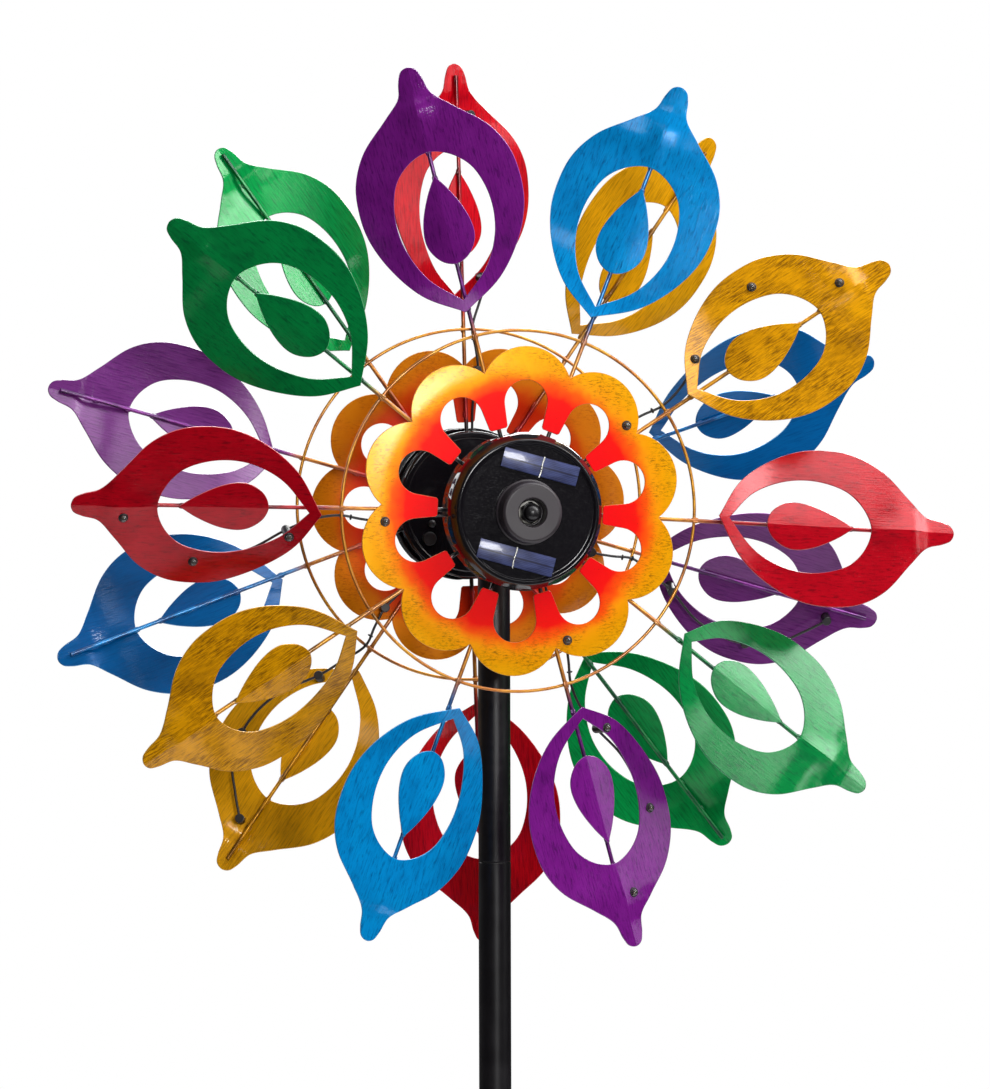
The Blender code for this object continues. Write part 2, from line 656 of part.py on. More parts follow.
def make_axle_parts():
    """The fixed axle, and on each side of the pole a spacer and a domed nut."""
    end = WHEEL_OFFSET + NUT_SEAT + AXLE_IN_NUT
    bm = bmesh.new()
    rod(bm, AXLE_RADIUS, (0, -end, AXLE_HEIGHT), (0, end, AXLE_HEIGHT), 20)
    place("axle", bm, "steel")
    for name, side in (("front_", -1), ("rear_", 1)):
        outward = Matrix.Translation((0, 0, AXLE_HEIGHT)) @ Matrix.Rotation(-side * math.pi / 2, 4, "X")
        near = CROSS_TUBE_HALF + GAP
        far = WHEEL_OFFSET + SLEEVE_BACK - SPACER_PLAY
        bm = bmesh.new()
        ring = [(BORE_RADIUS, near), (SPACER_RADIUS, near), (SPACER_RADIUS, far), (BORE_RADIUS, far)]
        turned(bm, ring, 16, True, outward)
        place(name + "spacer", bm, "nylon")
        seat = WHEEL_OFFSET + NUT_SEAT
        bm = bmesh.new()
        turned(bm, [
            (BORE_RADIUS, seat), (NUT_RADIUS, seat), (NUT_RADIUS, seat + NUT_THICKNESS),
            (0.75 * NUT_RADIUS, seat + 0.50 * DOME_HEIGHT), (0.68 * NUT_RADIUS, seat + 0.74 * DOME_HEIGHT),
            (0.40 * NUT_RADIUS, seat + 0.94 * DOME_HEIGHT), (0, seat + DOME_HEIGHT),
            (0, seat + NUT_BORE_DEPTH), (BORE_RADIUS, seat + NUT_BORE_DEPTH),
        ], 12, True, outward)
        place(name + "dome_nut", bm, "satin_black")


def main():
    clear_scene()
    seam = AXLE_HEIGHT - HEAD_LENGTH
    make_pole_head(AXLE_HEIGHT + HEAD_RISE, seam)
    pole_section("pole_middle", seam, seam - SECTION_LENGTH)
    pole_section("pole_lower", seam - SECTION_LENGTH, seam - 2 * SECTION_LENGTH)
    make_stake(seam - 2 * SECTION_LENGTH)
    for number in range(3):
        make_screw(f"joint_screw_{number + 1}", seam - number * SECTION_LENGTH + SCREW_DROP)
    make_axle_parts()
    make_wheel("front_", -1, FRONT_PHASE, FRONT_SET, FRONT_REACH, -PETAL_TILT, FRONT_STRING_RODS)
    make_wheel("rear_", 1, REAR_PHASE, REAR_SET, REAR_REACH, PETAL_TILT, REAR_STRING_RODS)


main()
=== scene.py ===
"""Looks of the dual-wheel wind spinner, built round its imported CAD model.

Metres, +Z up, and the spinner's front faces -Y. Each wheel is made in its own axes, with +Z
towards the wheel's own front and the rods in the plane Z = 0. A petal is made with +X along
its rod, +Y across it and +Z towards the wheel's front.
"""

import math

import bmesh
import bpy
import numpy as np
from mathutils import Matrix, Vector
from mathutils.geometry import delaunay_2d_cdt


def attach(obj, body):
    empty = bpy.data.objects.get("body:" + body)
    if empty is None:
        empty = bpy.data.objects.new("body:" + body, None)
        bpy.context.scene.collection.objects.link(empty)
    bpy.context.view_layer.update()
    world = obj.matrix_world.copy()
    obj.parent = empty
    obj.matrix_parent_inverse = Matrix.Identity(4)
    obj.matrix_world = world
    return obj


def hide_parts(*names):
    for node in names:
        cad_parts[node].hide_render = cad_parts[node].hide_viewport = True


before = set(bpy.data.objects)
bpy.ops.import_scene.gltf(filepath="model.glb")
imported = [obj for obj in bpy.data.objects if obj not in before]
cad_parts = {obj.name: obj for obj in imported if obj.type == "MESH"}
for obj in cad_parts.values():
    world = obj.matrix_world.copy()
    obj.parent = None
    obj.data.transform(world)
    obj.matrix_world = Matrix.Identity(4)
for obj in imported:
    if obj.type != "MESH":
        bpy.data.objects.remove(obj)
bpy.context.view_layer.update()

# The CAD model's driving dimensions
GAP = 0.0003
SHEET = 0.0012
AXLE_HEIGHT = 1.42
POLE_RADIUS = 0.011
POLE_WALL = 0.0012
NECK_LENGTH = 0.040
HEAD_LENGTH = 0.241
SECTION_LENGTH = 0.520
HEAD_TOP = AXLE_HEIGHT + 0.0135
HEAD_SEAM = AXLE_HEIGHT - HEAD_LENGTH
PRONG_DEPTH = 0.180
PRONG_SPREAD = 0.085
PRONG_RADIUS = 0.005
PRONG_TAPER = 0.030
STEP_PLATE = (0.200, 0.030, 0.006)
SCREW_RADIUS = 0.0019
SCREW_DROP = 0.020
SCREW_END = 0.0075
SCREW_HEAD_RADIUS = 0.0036
SCREW_HEAD_HEIGHT = 0.0026
SCREW_SOCKET_RADIUS = 0.0013
BORE_RADIUS = 0.0044
CROSS_TUBE_RADIUS = 0.0080
CROSS_TUBE_HALF = 0.045
WHEEL_OFFSET = 0.081
NUT_SEAT = 0.0323
NUT_HALF_FLATS = 0.0064
NUT_CORNER = 0.0073
NUT_BORE_DEPTH = 0.0076
DOME_HEIGHT = 0.0115
SPACER_RADIUS = 0.0070
SPACER_PLAY = 0.0004
ROD_COUNT = 10
ROD_STEP = 2 * math.pi / ROD_COUNT
ROD_RADIUS = 0.0014
ROD_END = 0.296
ROD_WELDS = (0.062, 0.082, 0.121, 0.1405, 0.173, 0.229, 0.2475, 0.2700)
WELD_PLACE = (0.0011, 0.0006)
WELD_SIZE = (0.0026, 0.0010, 0.0009)
RING_RADIUS = 0.121
RING_WIRE = 0.0011
INNER_RING_RADIUS = 0.040
PETAL_TILT = math.radians(21)
FRONT_PHASE = math.radians(104.8)
REAR_PHASE = math.radians(196.6)
# How far each rod was set off its even place by hand welding, in degrees
FRONT_SET = (-0.4, -0.4, -0.2, -0.4, 0.4, 0.15, 0.7, -0.05, 1.75, -0.15)
REAR_SET = (-0.4, 1.0, 0.25, -0.15, 2.0, -0.8, -0.4, 0.5, -0.65, -0.2)
# How far each petal was set out along its rod by hand welding
FRONT_REACH = (0.0016, 0.0004, 0.0, -0.0025, 0.0011, 0.0, 0.0008, 0.0007, 0.0, 0.0022)
REAR_REACH = (0.0, 0.0026, 0.0028, 0.0, -0.0034, 0.0, 0.0012, 0.0, 0.0, -0.0022)
COLOUR_ORDER = ("purple", "blue", "gold", "red", "green")

# Petal: (distance from its inner point, half width), from the inner point to the tip
PETAL_START = 0.137
PETAL_HALF = (
    (0.000, 0.0000), (0.017, 0.0270), (0.040, 0.0452), (0.062, 0.0543), (0.082, 0.0560),
    (0.100, 0.0532), (0.118, 0.0433), (0.136, 0.0235), (0.148, 0.0112), (0.159, 0.0080),
    (0.165, 0.0050), (0.167, 0.0000),
)
OPENING_HALF = (
    (0.0080, 0.0000), (0.026, 0.0197), (0.045, 0.0297), (0.062, 0.0330), (0.079, 0.0315),
    (0.094, 0.0255), (0.1045, 0.0140), (0.109, 0.0000),
)
LEAF_HALF = (
    (0.034, 0.0000), (0.037, 0.0085), (0.045, 0.0150), (0.053, 0.0170), (0.066, 0.0150),
    (0.082, 0.0080), (0.0946, 0.0000),
)
PETAL_WIDEST = 0.0560
PETAL_DROP = 0.0028
PETAL_CREASE = 0.020
BASE_RISE = 0.0105
BASE_LENGTH = 0.055
BASE_TWIST = 0.12
RIDGE_RISE = 0.0018
RIB_RISE = 0.0007
RIB_HALF = 0.0065
NIB_START = 0.139
NIB_FALL = 0.010
NIB_HALF = 0.010
NIB_DROP = 0.0008
LEAF_WIDEST = 0.017
LEAF_CREASE = 0.060
LEAF_DROP = 0.0007
LEAF_WELD = 0.0005
EDGE_ROUND = 0.00035
SHEET_CELL = 0.0040

# Flower
FLOWER_LOBE_CENTRE = 0.0791
FLOWER_LOBE_RADIUS = 0.0315
FLOWER_LOBE_HALF_ANGLE = math.radians(69)
FLOWER_HOLE_CENTRE = 0.0734
FLOWER_HOLE_RADIUS = 0.0146
FLOWER_HOLE_HALF_ANGLE = math.radians(100)
FLOWER_LEG_END = 0.0565
FLOWER_LEG_HALF = 0.00635
FLOWER_LEG_CORNER = 0.0012
FLOWER_ROLL = 0.0009
FLOWER_ROLL_START = 0.094

# Light strings: lamp places as (distance from the axle, distance across the rod)
FLOWER_LAMP = (0.0922, 0.0085)
PETAL_LAMPS = ((0.1565, 0.0185), (0.2186, 0.0400), (0.2685, 0.0080))
LAMP_RADIUS = 0.0024
LAMP_HOLE_RADIUS = 0.0030
LAMP_SOCKET_RADIUS = 0.0032
SOCKET_OVERLAP = 0.0013
BEZEL_WIRE = 0.00055
TIE_WIRE = 0.0006
CHIP_SIZE = (0.0016, 0.0016, 0.0005)
CHIP_LIFT = 0.0010
LAMP_PROUD = 0.0035
FLOWER_LAMP_DEPTH = -0.0045
PETAL_LAMP_DEPTHS = (-0.0052, -0.0072, -0.0045)
CABLE_RADIUS = 0.0009
FRONT_STRING_RODS = (2, 5, 8)
REAR_STRING_RODS = (0, 3, 7)

# Hub, heights along the wheel's +Z
HUB_BACK = -0.012
HUB_RADIUS = 0.0508
HUB_WALL = 0.0018
NOTCH_HALF_ANGLE = math.asin(0.0046 / HUB_RADIUS)
COVER_NOTCH = 0.0106
COVER_RIM = 0.0085
COVER_BOSS_TOP = 0.004
COVER_BOSS_WALL = 0.0027
SHELL_RADIUS = 0.0525
SHELL_SKIRT_END = 0.003
SHELL_NOTCH = 0.0036
SHELL_SHOULDER = 0.018
SHELL_LIP = 0.0275
SHELL_LIP_RADIUS = 0.0472
FACE_HEIGHT = 0.026
COLLAR_RADIUS = 0.0208
COLLAR_TOP = 0.041
COLLAR_FLOOR = 0.0312
COLLAR_HOLE = 0.0150
RECESS_RADIUS = 0.0090
SPIGOT_END = 0.0205
SLEEVE_RADIUS = 0.0077
SLEEVE_BACK = -0.014
SLEEVE_FRONT = 0.0315
CELL_SIZE = (0.053, 0.013, 0.001)
CELL_OFFSET = 0.0314
CELL_TURN = math.radians(-30.3)
BUTTON_OFFSET = 0.038
BUTTON_RADIUS = 0.0046
BUTTON_PROUD = 0.0022
BUTTON_DEPTH = 0.006
BUTTON_TURN = -6.5 * ROD_STEP
COVER_SCREW_OFFSET = 0.031
COVER_SCREW_TURN = math.radians(-221)


# ---------------------------------------------------------------- curves and outlines

def spline(points, corners, per_span, closed=True):
    """A smooth line through points, with a sharp corner at each index in corners."""
    points = [Vector(p) for p in points]
    count = len(points)
    made = []
    for i in range(count if closed else count - 1):
        start = points[i]
        end = points[(i + 1) % count]
        before = points[i - 1]
        after = points[(i + 2) % count]
        if i in corners or (not closed and i == 0):
            before = 2 * start - end
        if (i + 1) % count in corners or (not closed and i == count - 2):
            after = 2 * end - start
        made += [span_point(before, start, end, after, k / per_span) for k in range(per_span)]
    if not closed:
        made.append(points[-1])
    return made


def span_point(p0, p1, p2, p3, t):
    """A point between p1 and p2 on the centripetal Catmull-Rom curve through four points."""
    k1 = (p1 - p0).length ** 0.5
    k2 = k1 + (p2 - p1).length ** 0.5
    k3 = k2 + (p3 - p2).length ** 0.5
    at = k1 + (k2 - k1) * t
    a1 = p0.lerp(p1, at / k1)
    a2 = p1.lerp(p2, (at - k1) / (k2 - k1))
    a3 = p2.lerp(p3, (at - k2) / (k3 - k2))
    b1 = a1.lerp(a2, at / k2)
    b2 = a2.lerp(a3, (at - k1) / (k3 - k1))
    return b1.lerp(b2, (at - k1) / (k2 - k1))


def circle(centre, radius, count, start=0.0, sweep=2 * math.pi):
    """Points round a circle, or round part of it with both ends included."""
    steps = count if sweep == 2 * math.pi else count - 1
    angles = [start + sweep * i / steps for i in range(count)]
    return [Vector((centre[0] + radius * math.cos(a), centre[1] + radius * math.sin(a))) for a in angles]


def turned_points(points, angle):
    turn = Matrix.Rotation(angle, 2)
    return [turn @ Vector(p) for p in points]


def both_sides(half, corners, per_span=8):
    """A smooth closed outline from (distance, half width) points that end on the rod's line."""
    lower = [(PETAL_START + along, -width) for along, width in half]
    upper = [(PETAL_START + along, width) for along, width in reversed(half[1:-1])]
    return spline(lower + upper, corners, per_span)


def filleted(profile, radius, steps=4):
    """A (radius, height) profile with its corners rounded, apart from those on the axis.

    A guard point on each side of a rounded corner keeps the flats beside it shaded flat.
    """
    made = []
    points = [Vector(p) for p in profile]
    for i, corner in enumerate(points):
        to_last = points[i - 1] - corner
        to_next = points[(i + 1) % len(points)] - corner
        reach = min(radius, 0.4 * to_last.length, 0.4 * to_next.length)
        if corner.x < 1e-6 or reach < 1e-6:
            made.append(corner)
            continue
        first = corner + to_last.normalized() * reach
        last = corner + to_next.normalized() * reach
        made.append(corner + to_last.normalized() * 1.2 * reach)
        for k in range(steps + 1):
            t = k / steps
            made.append(first.lerp(corner, t).lerp(corner.lerp(last, t), t))
        made.append(corner + to_next.normalized() * 1.2 * reach)
    return made


def smoothstep(low, high, value):
    t = min(1.0, max(0.0, (value - low) / (high - low)))
    return t * t * (3 - 2 * t)


# ---------------------------------------------------------------- meshes

def new_object(name, bm, material=None):
    """An object in the scene from a bmesh, with its faces turned outwards."""
    bmesh.ops.recalc_face_normals(bm, faces=bm.faces[:])
    mesh = bpy.data.meshes.new(name)
    bm.to_mesh(mesh)
    bm.free()
    if material:
        mesh.materials.append(material)
    made = bpy.data.objects.new(name, mesh)
    bpy.context.scene.collection.objects.link(made)
    return made


def finish_piece(name, bm, look, node=None, body="stand", matrix=None, sharp=40):
    """A piece from a bmesh: its look, shading, place, CAD body and the node it replaces."""
    piece = new_object(name, bm, LOOKS[look])
    piece.data.shade_smooth()
    if sharp:
        piece.data.set_sharp_from_angle(angle=math.radians(sharp))
    if matrix is not None:
        piece.data.transform(matrix)
    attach(piece, body)
    if node:
        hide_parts(node)
    return piece


def new_shape():
    """A bmesh whose vertices hold their place on the part, in metres, and whether they are settled."""
    bm = bmesh.new()
    bm.verts.layers.float_vector.new("plan")
    bm.verts.layers.int.new("settled")
    return bm


def plan_layer(bm):
    return bm.verts.layers.float_vector["plan"]


def fresh_verts(bm):
    """The vertices made since the last call of settle."""
    settled = bm.verts.layers.int["settled"]
    return [v for v in bm.verts if not v[settled]]


def settle(bm, matrix=None, noted=False):
    """Notes where the fresh vertices are on their part, unless that is done, and moves them into place."""
    plan = plan_layer(bm)
    settled = bm.verts.layers.int["settled"]
    fresh = fresh_verts(bm)
    for vert in fresh:
        if not noted:
            vert[plan] = vert.co
        vert[settled] = 1
    if matrix is not None:
        bmesh.ops.transform(bm, matrix=matrix, verts=fresh)


def inset_loop(loop, amount):
    """The loop moved sideways by amount, to its left."""
    made = []
    for i, point in enumerate(loop):
        before = (point - loop[i - 1]).normalized()
        after = (loop[(i + 1) % len(loop)] - point).normalized()
        normal = Vector((-(before.y + after.y), before.x + after.x))
        made.append(point + amount * normal.normalized())
    return made


def loop_area(loop):
    return sum(a.x * b.y - b.x * a.y for a, b in zip(loop, loop[1:] + loop[:1])) / 2


def inside_loops(places, loops):
    """Even-odd test of many plan points against an outline and its holes."""
    inside = np.zeros(len(places), bool)
    x, y = places[:, 0], places[:, 1]
    for loop in loops:
        start = np.array([tuple(p) for p in loop])
        for (ax, ay), (bx, by) in zip(start, np.roll(start, -1, axis=0)):
            crosses = (ay > y) != (by > y)
            if by != ay:
                inside ^= crosses & (x < ax + (y - ay) * (bx - ax) / (by - ay))
    return inside


def inner_points(loops, cell, clear_lines=()):
    """A grid of plan points on the sheet, clear of its edges and creases."""
    edge = np.array([tuple(p) for loop in loops for p in loop] + [tuple(p) for p in clear_lines])
    low, high = edge.min(0), edge.max(0)
    xs = np.arange(low[0], high[0], cell)
    ys = np.arange(math.floor(low[1] / cell) * cell, high[1], cell)
    grid = np.array([(x + (j % 2) * cell / 2, y) for j, y in enumerate(ys) for x in xs])
    grid = grid[inside_loops(grid, loops)]
    if not len(grid):
        return []
    distance = np.sqrt(((grid[:, None] - edge[None]) ** 2).sum(2)).min(1)
    return [Vector(p) for p in grid[distance > 0.55 * cell]]


def sheet(loops, creases, height, cell=SHEET_CELL):
    """Sheet metal with rounded edges: an outline with holes, creased along straight lines.

    height(x, y) is its back face. The plan layer holds x, y and +1 on the front, 0 round the
    edge and -1 on the back.
    """
    bm = new_shape()
    layer = plan_layer(bm)
    loops = [loop if (loop_area(loop) > 0) == (i == 0) else loop[::-1] for i, loop in enumerate(loops)]
    inner = [inset_loop(loop, EDGE_ROUND) for loop in loops]
    points = []
    edges = []
    for loop in inner:
        first = len(points)
        points += loop
        edges += [(first + i, first + (i + 1) % len(loop)) for i in range(len(loop))]
    crease_points = [p for line in creases for p in line]
    for line in creases:
        first = len(points)
        points += line
        edges += [(first + i, first + i + 1) for i in range(len(line) - 1)]
    points += inner_points(inner, cell, crease_points)
    plan, _, triangles, ids, *_ = delaunay_2d_cdt(points, edges, [], 0, 1e-7, True)
    middles = np.array([tuple(sum((plan[i] for i in t), Vector((0, 0))) / 3) for t in triangles])
    kept = [t for t, on in zip(triangles, inside_loops(middles, inner)) if on]
    place_of = {original: i for i, originals in enumerate(ids) for original in originals}
    front = {}
    back = {}
    used = sorted({i for t in kept for i in t})
    for group, offset, side in ((front, SHEET, 1), (back, 0.0, -1)):
        for i in used:
            group[i] = bm.verts.new((*plan[i], height(*plan[i]) + offset))
            group[i][layer] = (*plan[i], side)
    for a, b, c in kept:
        bm.faces.new((front[a], front[b], front[c]))
        bm.faces.new((back[c], back[b], back[a]))
    rim_of_sheet(bm, loops, place_of, front, back, height)
    mark_creases(bm, creases, place_of, sum(len(loop) for loop in loops), front, back)
    return bm


def sharpen(bm, first, second):
    """Shades the sheet sharply across the edge between two vertices, where there is one."""
    edge = bm.edges.get((first, second))
    if edge:
        edge.smooth = False


def rim_of_sheet(bm, loops, place_of, front, back, height):
    """The rounded edge between the front and the back face, with both its borders sharp."""
    layer = plan_layer(bm)
    first = 0
    for loop in loops:
        count = len(loop)
        rings = [[front[place_of[first + i]] for i in range(count)]]
        for offset, side in ((SHEET - EDGE_ROUND, 0.4), (EDGE_ROUND, -0.4)):
            ring = [bm.verts.new((*p, height(*p) + offset)) for p in loop]
            for vert, p in zip(ring, loop):
                vert[layer] = (*p, side)
            rings.append(ring)
        rings.append([back[place_of[first + i]] for i in range(count)])
        for high, low in zip(rings, rings[1:]):
            for i in range(count):
                j = (i + 1) % count
                bm.faces.new((high[i], low[i], low[j], high[j]))
        for ring in (rings[0], rings[-1]):
            for i in range(count):
                sharpen(bm, ring[i], ring[(i + 1) % count])
        first += count


def mark_creases(bm, creases, place_of, first, front, back):
    """Shades the sheet sharply along its creases."""
    for line in creases:
        for i in range(first, first + len(line) - 1):
            start, end = place_of[i], place_of[i + 1]
            for side in (front, back):
                if start in side and end in side:
                    sharpen(bm, side[start], side[end])
        first += len(line)


def turned(bm, profile, steps, matrix=None):
    """A profile of (radius, height) points spun about Z, joined end to end unless it starts on the axis."""
    corners = [bm.verts.new((radius, 0, height)) for radius, height in profile]
    following = corners[1:] + corners[:1] if profile[0][0] > 0 else corners[1:]
    edges = [bm.edges.new(pair) for pair in zip(corners, following)]
    bmesh.ops.spin(
        bm, geom=corners + edges, cent=(0, 0, 0), axis=(0, 0, 1),
        angle=2 * math.pi, steps=steps, use_merge=True,
    )
    bmesh.ops.remove_doubles(bm, verts=fresh_verts(bm), dist=1e-6)
    settle(bm, matrix)


def turning(profile, steps, fillet=None, fillet_steps=4, matrix=None):
    """A new shape with one turned profile, whose corners are rounded where a fillet is given."""
    bm = new_shape()
    turned(bm, filleted(profile, fillet, fillet_steps) if fillet else profile, steps, matrix)
    return bm


def swept_round(profile_at, steps=240):
    """A closed ring whose (radius, height) profile changes with the angle round Z."""
    bm = new_shape()
    rings = []
    for i in range(steps):
        angle = 2 * math.pi * i / steps
        c, s = math.cos(angle), math.sin(angle)
        rings.append([bm.verts.new((r * c, r * s, h)) for r, h in profile_at(angle)])
    for i, first in enumerate(rings):
        second = rings[(i + 1) % steps]
        for k in range(len(first)):
            j = (k + 1) % len(first)
            bm.faces.new((first[k], first[j], second[j], second[k]))
    settle(bm)
    return bm


def bar_profile(radius, low, high, fillet):
    """The profile of a solid round bar with rounded ends."""
    return filleted([(0, low), (radius, low), (radius, high), (0, high)], fillet)


def tube(bm, route, radius, sides):
    """A round cable along a route. The plan layer holds the length run, and the turn about it."""
    layer = plan_layer(bm)
    rings = []
    side = Vector((0, 0, 1))
    run = 0.0
    for i, point in enumerate(route):
        along = (route[min(i + 1, len(route) - 1)] - route[max(i - 1, 0)]).normalized()
        side = (side - along * side.dot(along)).normalized()
        other = along.cross(side)
        run += (point - route[i - 1]).length if i else 0.0
        ring = []
        for k in range(sides):
            a = 2 * math.pi * k / sides
            vert = bm.verts.new(point + radius * (math.cos(a) * side + math.sin(a) * other))
            vert[layer] = (run, radius * math.cos(a), radius * math.sin(a))
            ring.append(vert)
        rings.append(ring)
    for first, second in zip(rings, rings[1:]):
        for k in range(sides):
            bm.faces.new((first[k], first[(k + 1) % sides], second[(k + 1) % sides], second[k]))
    bm.faces.new(rings[0][::-1])
    bm.faces.new(rings[-1])
    settle(bm, noted=True)


def bead(bm, centre, size):
    """A weld bead: a small rounded lump."""
    shape = Matrix.Translation(centre) @ Matrix.Diagonal((*size, 1))
    made = bmesh.ops.create_icosphere(bm, subdivisions=2, radius=1, matrix=shape)
    for vert in made["verts"]:
        vert[plan_layer(bm)] = (centre[0], 0, 0)
    settle(bm, noted=True)


def plate(bm, size, fillet, centre=(0, 0, 0), matrix=None):
    """A block with rounded edges."""
    made = bmesh.ops.create_cube(bm, size=1, matrix=Matrix.Translation(centre) @ Matrix.Diagonal((*size, 1)))
    edges = {e for v in made["verts"] for e in v.link_edges}
    bmesh.ops.bevel(bm, geom=list(edges), offset=fillet, segments=3, profile=0.5, affect="EDGES")
    settle(bm, matrix)


def join_shape(piece, bm, operation):
    """Cuts the shape in bm from the piece, or welds it on, and keeps the result as the piece's mesh."""
    tool = new_object("tool", bm)
    tool.data.transform(piece.matrix_world.inverted())
    tool.matrix_world = piece.matrix_world.copy()
    step = piece.modifiers.new("join", "BOOLEAN")
    step.operation = operation
    step.object = tool
    step.use_self = operation == "UNION"
    bpy.context.view_layer.update()
    graph = bpy.context.evaluated_depsgraph_get()
    result = bpy.data.meshes.new_from_object(piece.evaluated_get(graph))
    look = piece.data.materials[0]
    piece.modifiers.remove(step)
    piece.data = result
    result.materials.clear()
    result.materials.append(look)
    result.shade_smooth()
    result.set_sharp_from_angle(angle=math.radians(35))
    bpy.data.objects.remove(tool)


# ---------------------------------------------------------------- materials

def linear(red, green, blue):
    """A display colour from 0 to 255 as the shader's linear one."""
    values = [c / 255 for c in (red, green, blue)]
    return (*[v / 12.92 if v <= 0.04045 else ((v + 0.055) / 1.055) ** 2.4 for v in values], 1.0)


class Nodes:
    """Short calls to build one material's nodes."""

    def __init__(self, name):
        self.material = bpy.data.materials.new(name)
        self.material.use_nodes = True
        self.tree = self.material.node_tree
        self.shader = self.tree.nodes["Principled BSDF"]
        self.plan = self.add("ShaderNodeAttribute", attribute_name="plan").outputs["Vector"]

    def add(self, kind, inputs=(), **settings):
        node = self.tree.nodes.new(kind)
        for key, value in settings.items():
            setattr(node, key, value)
        for key, value in dict(inputs).items():
            self.put(node.inputs[key], value)
        return node

    def put(self, socket, value):
        if isinstance(value, bpy.types.NodeSocket):
            self.tree.links.new(value, socket)
        else:
            socket.default_value = value

    def finish(self, **inputs):
        """Sets the shader's inputs and gives the finished material."""
        for key, value in inputs.items():
            self.put(self.shader.inputs[key.replace("_", " ")], value)
        return self.material

    def part(self, index):
        """One of the three values of the plan attribute."""
        return self.add("ShaderNodeSeparateXYZ", {"Vector": self.plan}).outputs[index]

    def objects_place(self):
        return self.add("ShaderNodeTexCoord").outputs["Object"]

    def noise(self, vector, scale, detail, rough, seed):
        inputs = {"Vector": vector, "Scale": scale, "Detail": detail, "Roughness": rough, "W": seed}
        return self.add("ShaderNodeTexNoise", inputs, noise_dimensions="4D").outputs["Fac"]

    def stretched(self, scales):
        node = self.add("ShaderNodeVectorMath", {0: self.plan, 1: scales}, operation="MULTIPLY")
        return node.outputs["Vector"]

    def strokes(self, scales, detail, rough, seed):
        """Noise with its own scale along each axis of the part; 0 leaves an axis out."""
        return self.noise(self.stretched(scales), 1.0, detail, rough, seed)

    def maths(self, operation, first, second=0.0):
        return self.add("ShaderNodeMath", {0: first, 1: second}, operation=operation).outputs["Value"]

    def times(self, first, second):
        return self.maths("MULTIPLY", first, second)

    def wander(self, value, noise, amount):
        """A value moved up and down by a noise."""
        return self.maths("ADD", value, self.times(self.maths("SUBTRACT", noise, 0.5), amount))

    def step(self, value, low, high, start=0.0, end=1.0):
        inputs = {"Value": value, "From Min": low, "From Max": high, "To Min": start, "To Max": end}
        return self.add("ShaderNodeMapRange", inputs, interpolation_type="SMOOTHSTEP").outputs["Result"]

    def mix(self, amount, first, second):
        inputs = {"Factor": amount, 6: first, 7: second}
        return self.add("ShaderNodeMix", data_type="RGBA", inputs=inputs).outputs[2]

    def ramp(self, value, stops):
        node = self.add("ShaderNodeValToRGB", {"Fac": value})
        elements = node.color_ramp.elements
        while len(elements) < len(stops):
            elements.new(0.5)
        for element, (place, colour) in zip(elements, stops):
            element.position = place
            element.color = linear(*colour)
        return node.outputs["Color"]

    def bump(self, height, distance, coat=False):
        """Relief of the surface, which the clear coat follows too where coat is set."""
        node = self.add("ShaderNodeBump", {"Height": height, "Distance": distance})
        self.put(self.shader.inputs["Normal"], node.outputs["Normal"])
        if coat:
            self.put(self.shader.inputs["Coat Normal"], node.outputs["Normal"])


ENAMELS = {
    # base, deep, bright, edge (a pale colour painted on the rims as a highlight), back
    "purple": ((116, 22, 128), (64, 6, 78), (138, 38, 152), (186, 124, 196), (112, 46, 122)),
    "blue": ((0, 136, 206), (0, 68, 124), (0, 170, 236), (130, 196, 240), (0, 92, 158)),
    "gold": ((218, 150, 2), (130, 84, 0), (244, 178, 4), (248, 208, 110), (224, 158, 8)),
    "red": ((170, 0, 20), (96, 0, 12), (196, 10, 32), (240, 140, 150), (206, 4, 24)),
    "green": ((0, 124, 58), (0, 70, 42), (0, 154, 74), (140, 222, 180), (0, 156, 72)),
}
PLAIN_COATS = {
    # colour, roughness, grain's depth, grain's scale, metallic
    "collar_grey": ((42, 35, 40), 0.48, 0.00004, 1800.0, 0.0),
    "pole_coat": ((12, 9, 13), 0.34, 0.00004, 1500.0, 0.1),
    "stake_coat": ((30, 28, 31), 0.45, 0.00008, 900.0, 0.1),
    "black_hardware": ((17, 15, 17), 0.33, 0.00003, 2000.0, 0.1),
    "cable_black": ((20, 19, 21), 0.42, 0.00003, 2200.0, 0.0),
    "button_black": ((22, 21, 23), 0.40, 0.00003, 2200.0, 0.0),
    "nylon": ((206, 203, 192), 0.45, 0.00003, 1500.0, 0.0),
    "busbar": ((196, 194, 188), 0.30, 0.00003, 1500.0, 0.9),
    "lamp_chip": ((214, 196, 120), 0.5, 0.00005, 1400.0, 0.0),
}


def painted_sheet(made, colour, dull, edge, roughness, back_roughness, coat, coat_roughness):
    """Ends a painted sheet's look with a duller back and a painted highlight on its rounded cut edges."""
    side = made.part(2)
    back = made.step(side, -0.6, -0.9)
    # edge is painted onto the rim faces as a highlight along the cut edges
    edge_highlight_mask = made.step(made.maths("ABSOLUTE", side), 0.75, 0.45)
    colour = made.mix(made.times(edge_highlight_mask, 0.55), made.mix(back, colour, dull), edge)
    return made.finish(
        Base_Color=colour, Metallic=0.15, Roughness=made.step(back, 0, 1, roughness, back_roughness),
        Coat_Weight=coat, Coat_Roughness=coat_roughness, Specular_IOR_Level=0.05,
    )


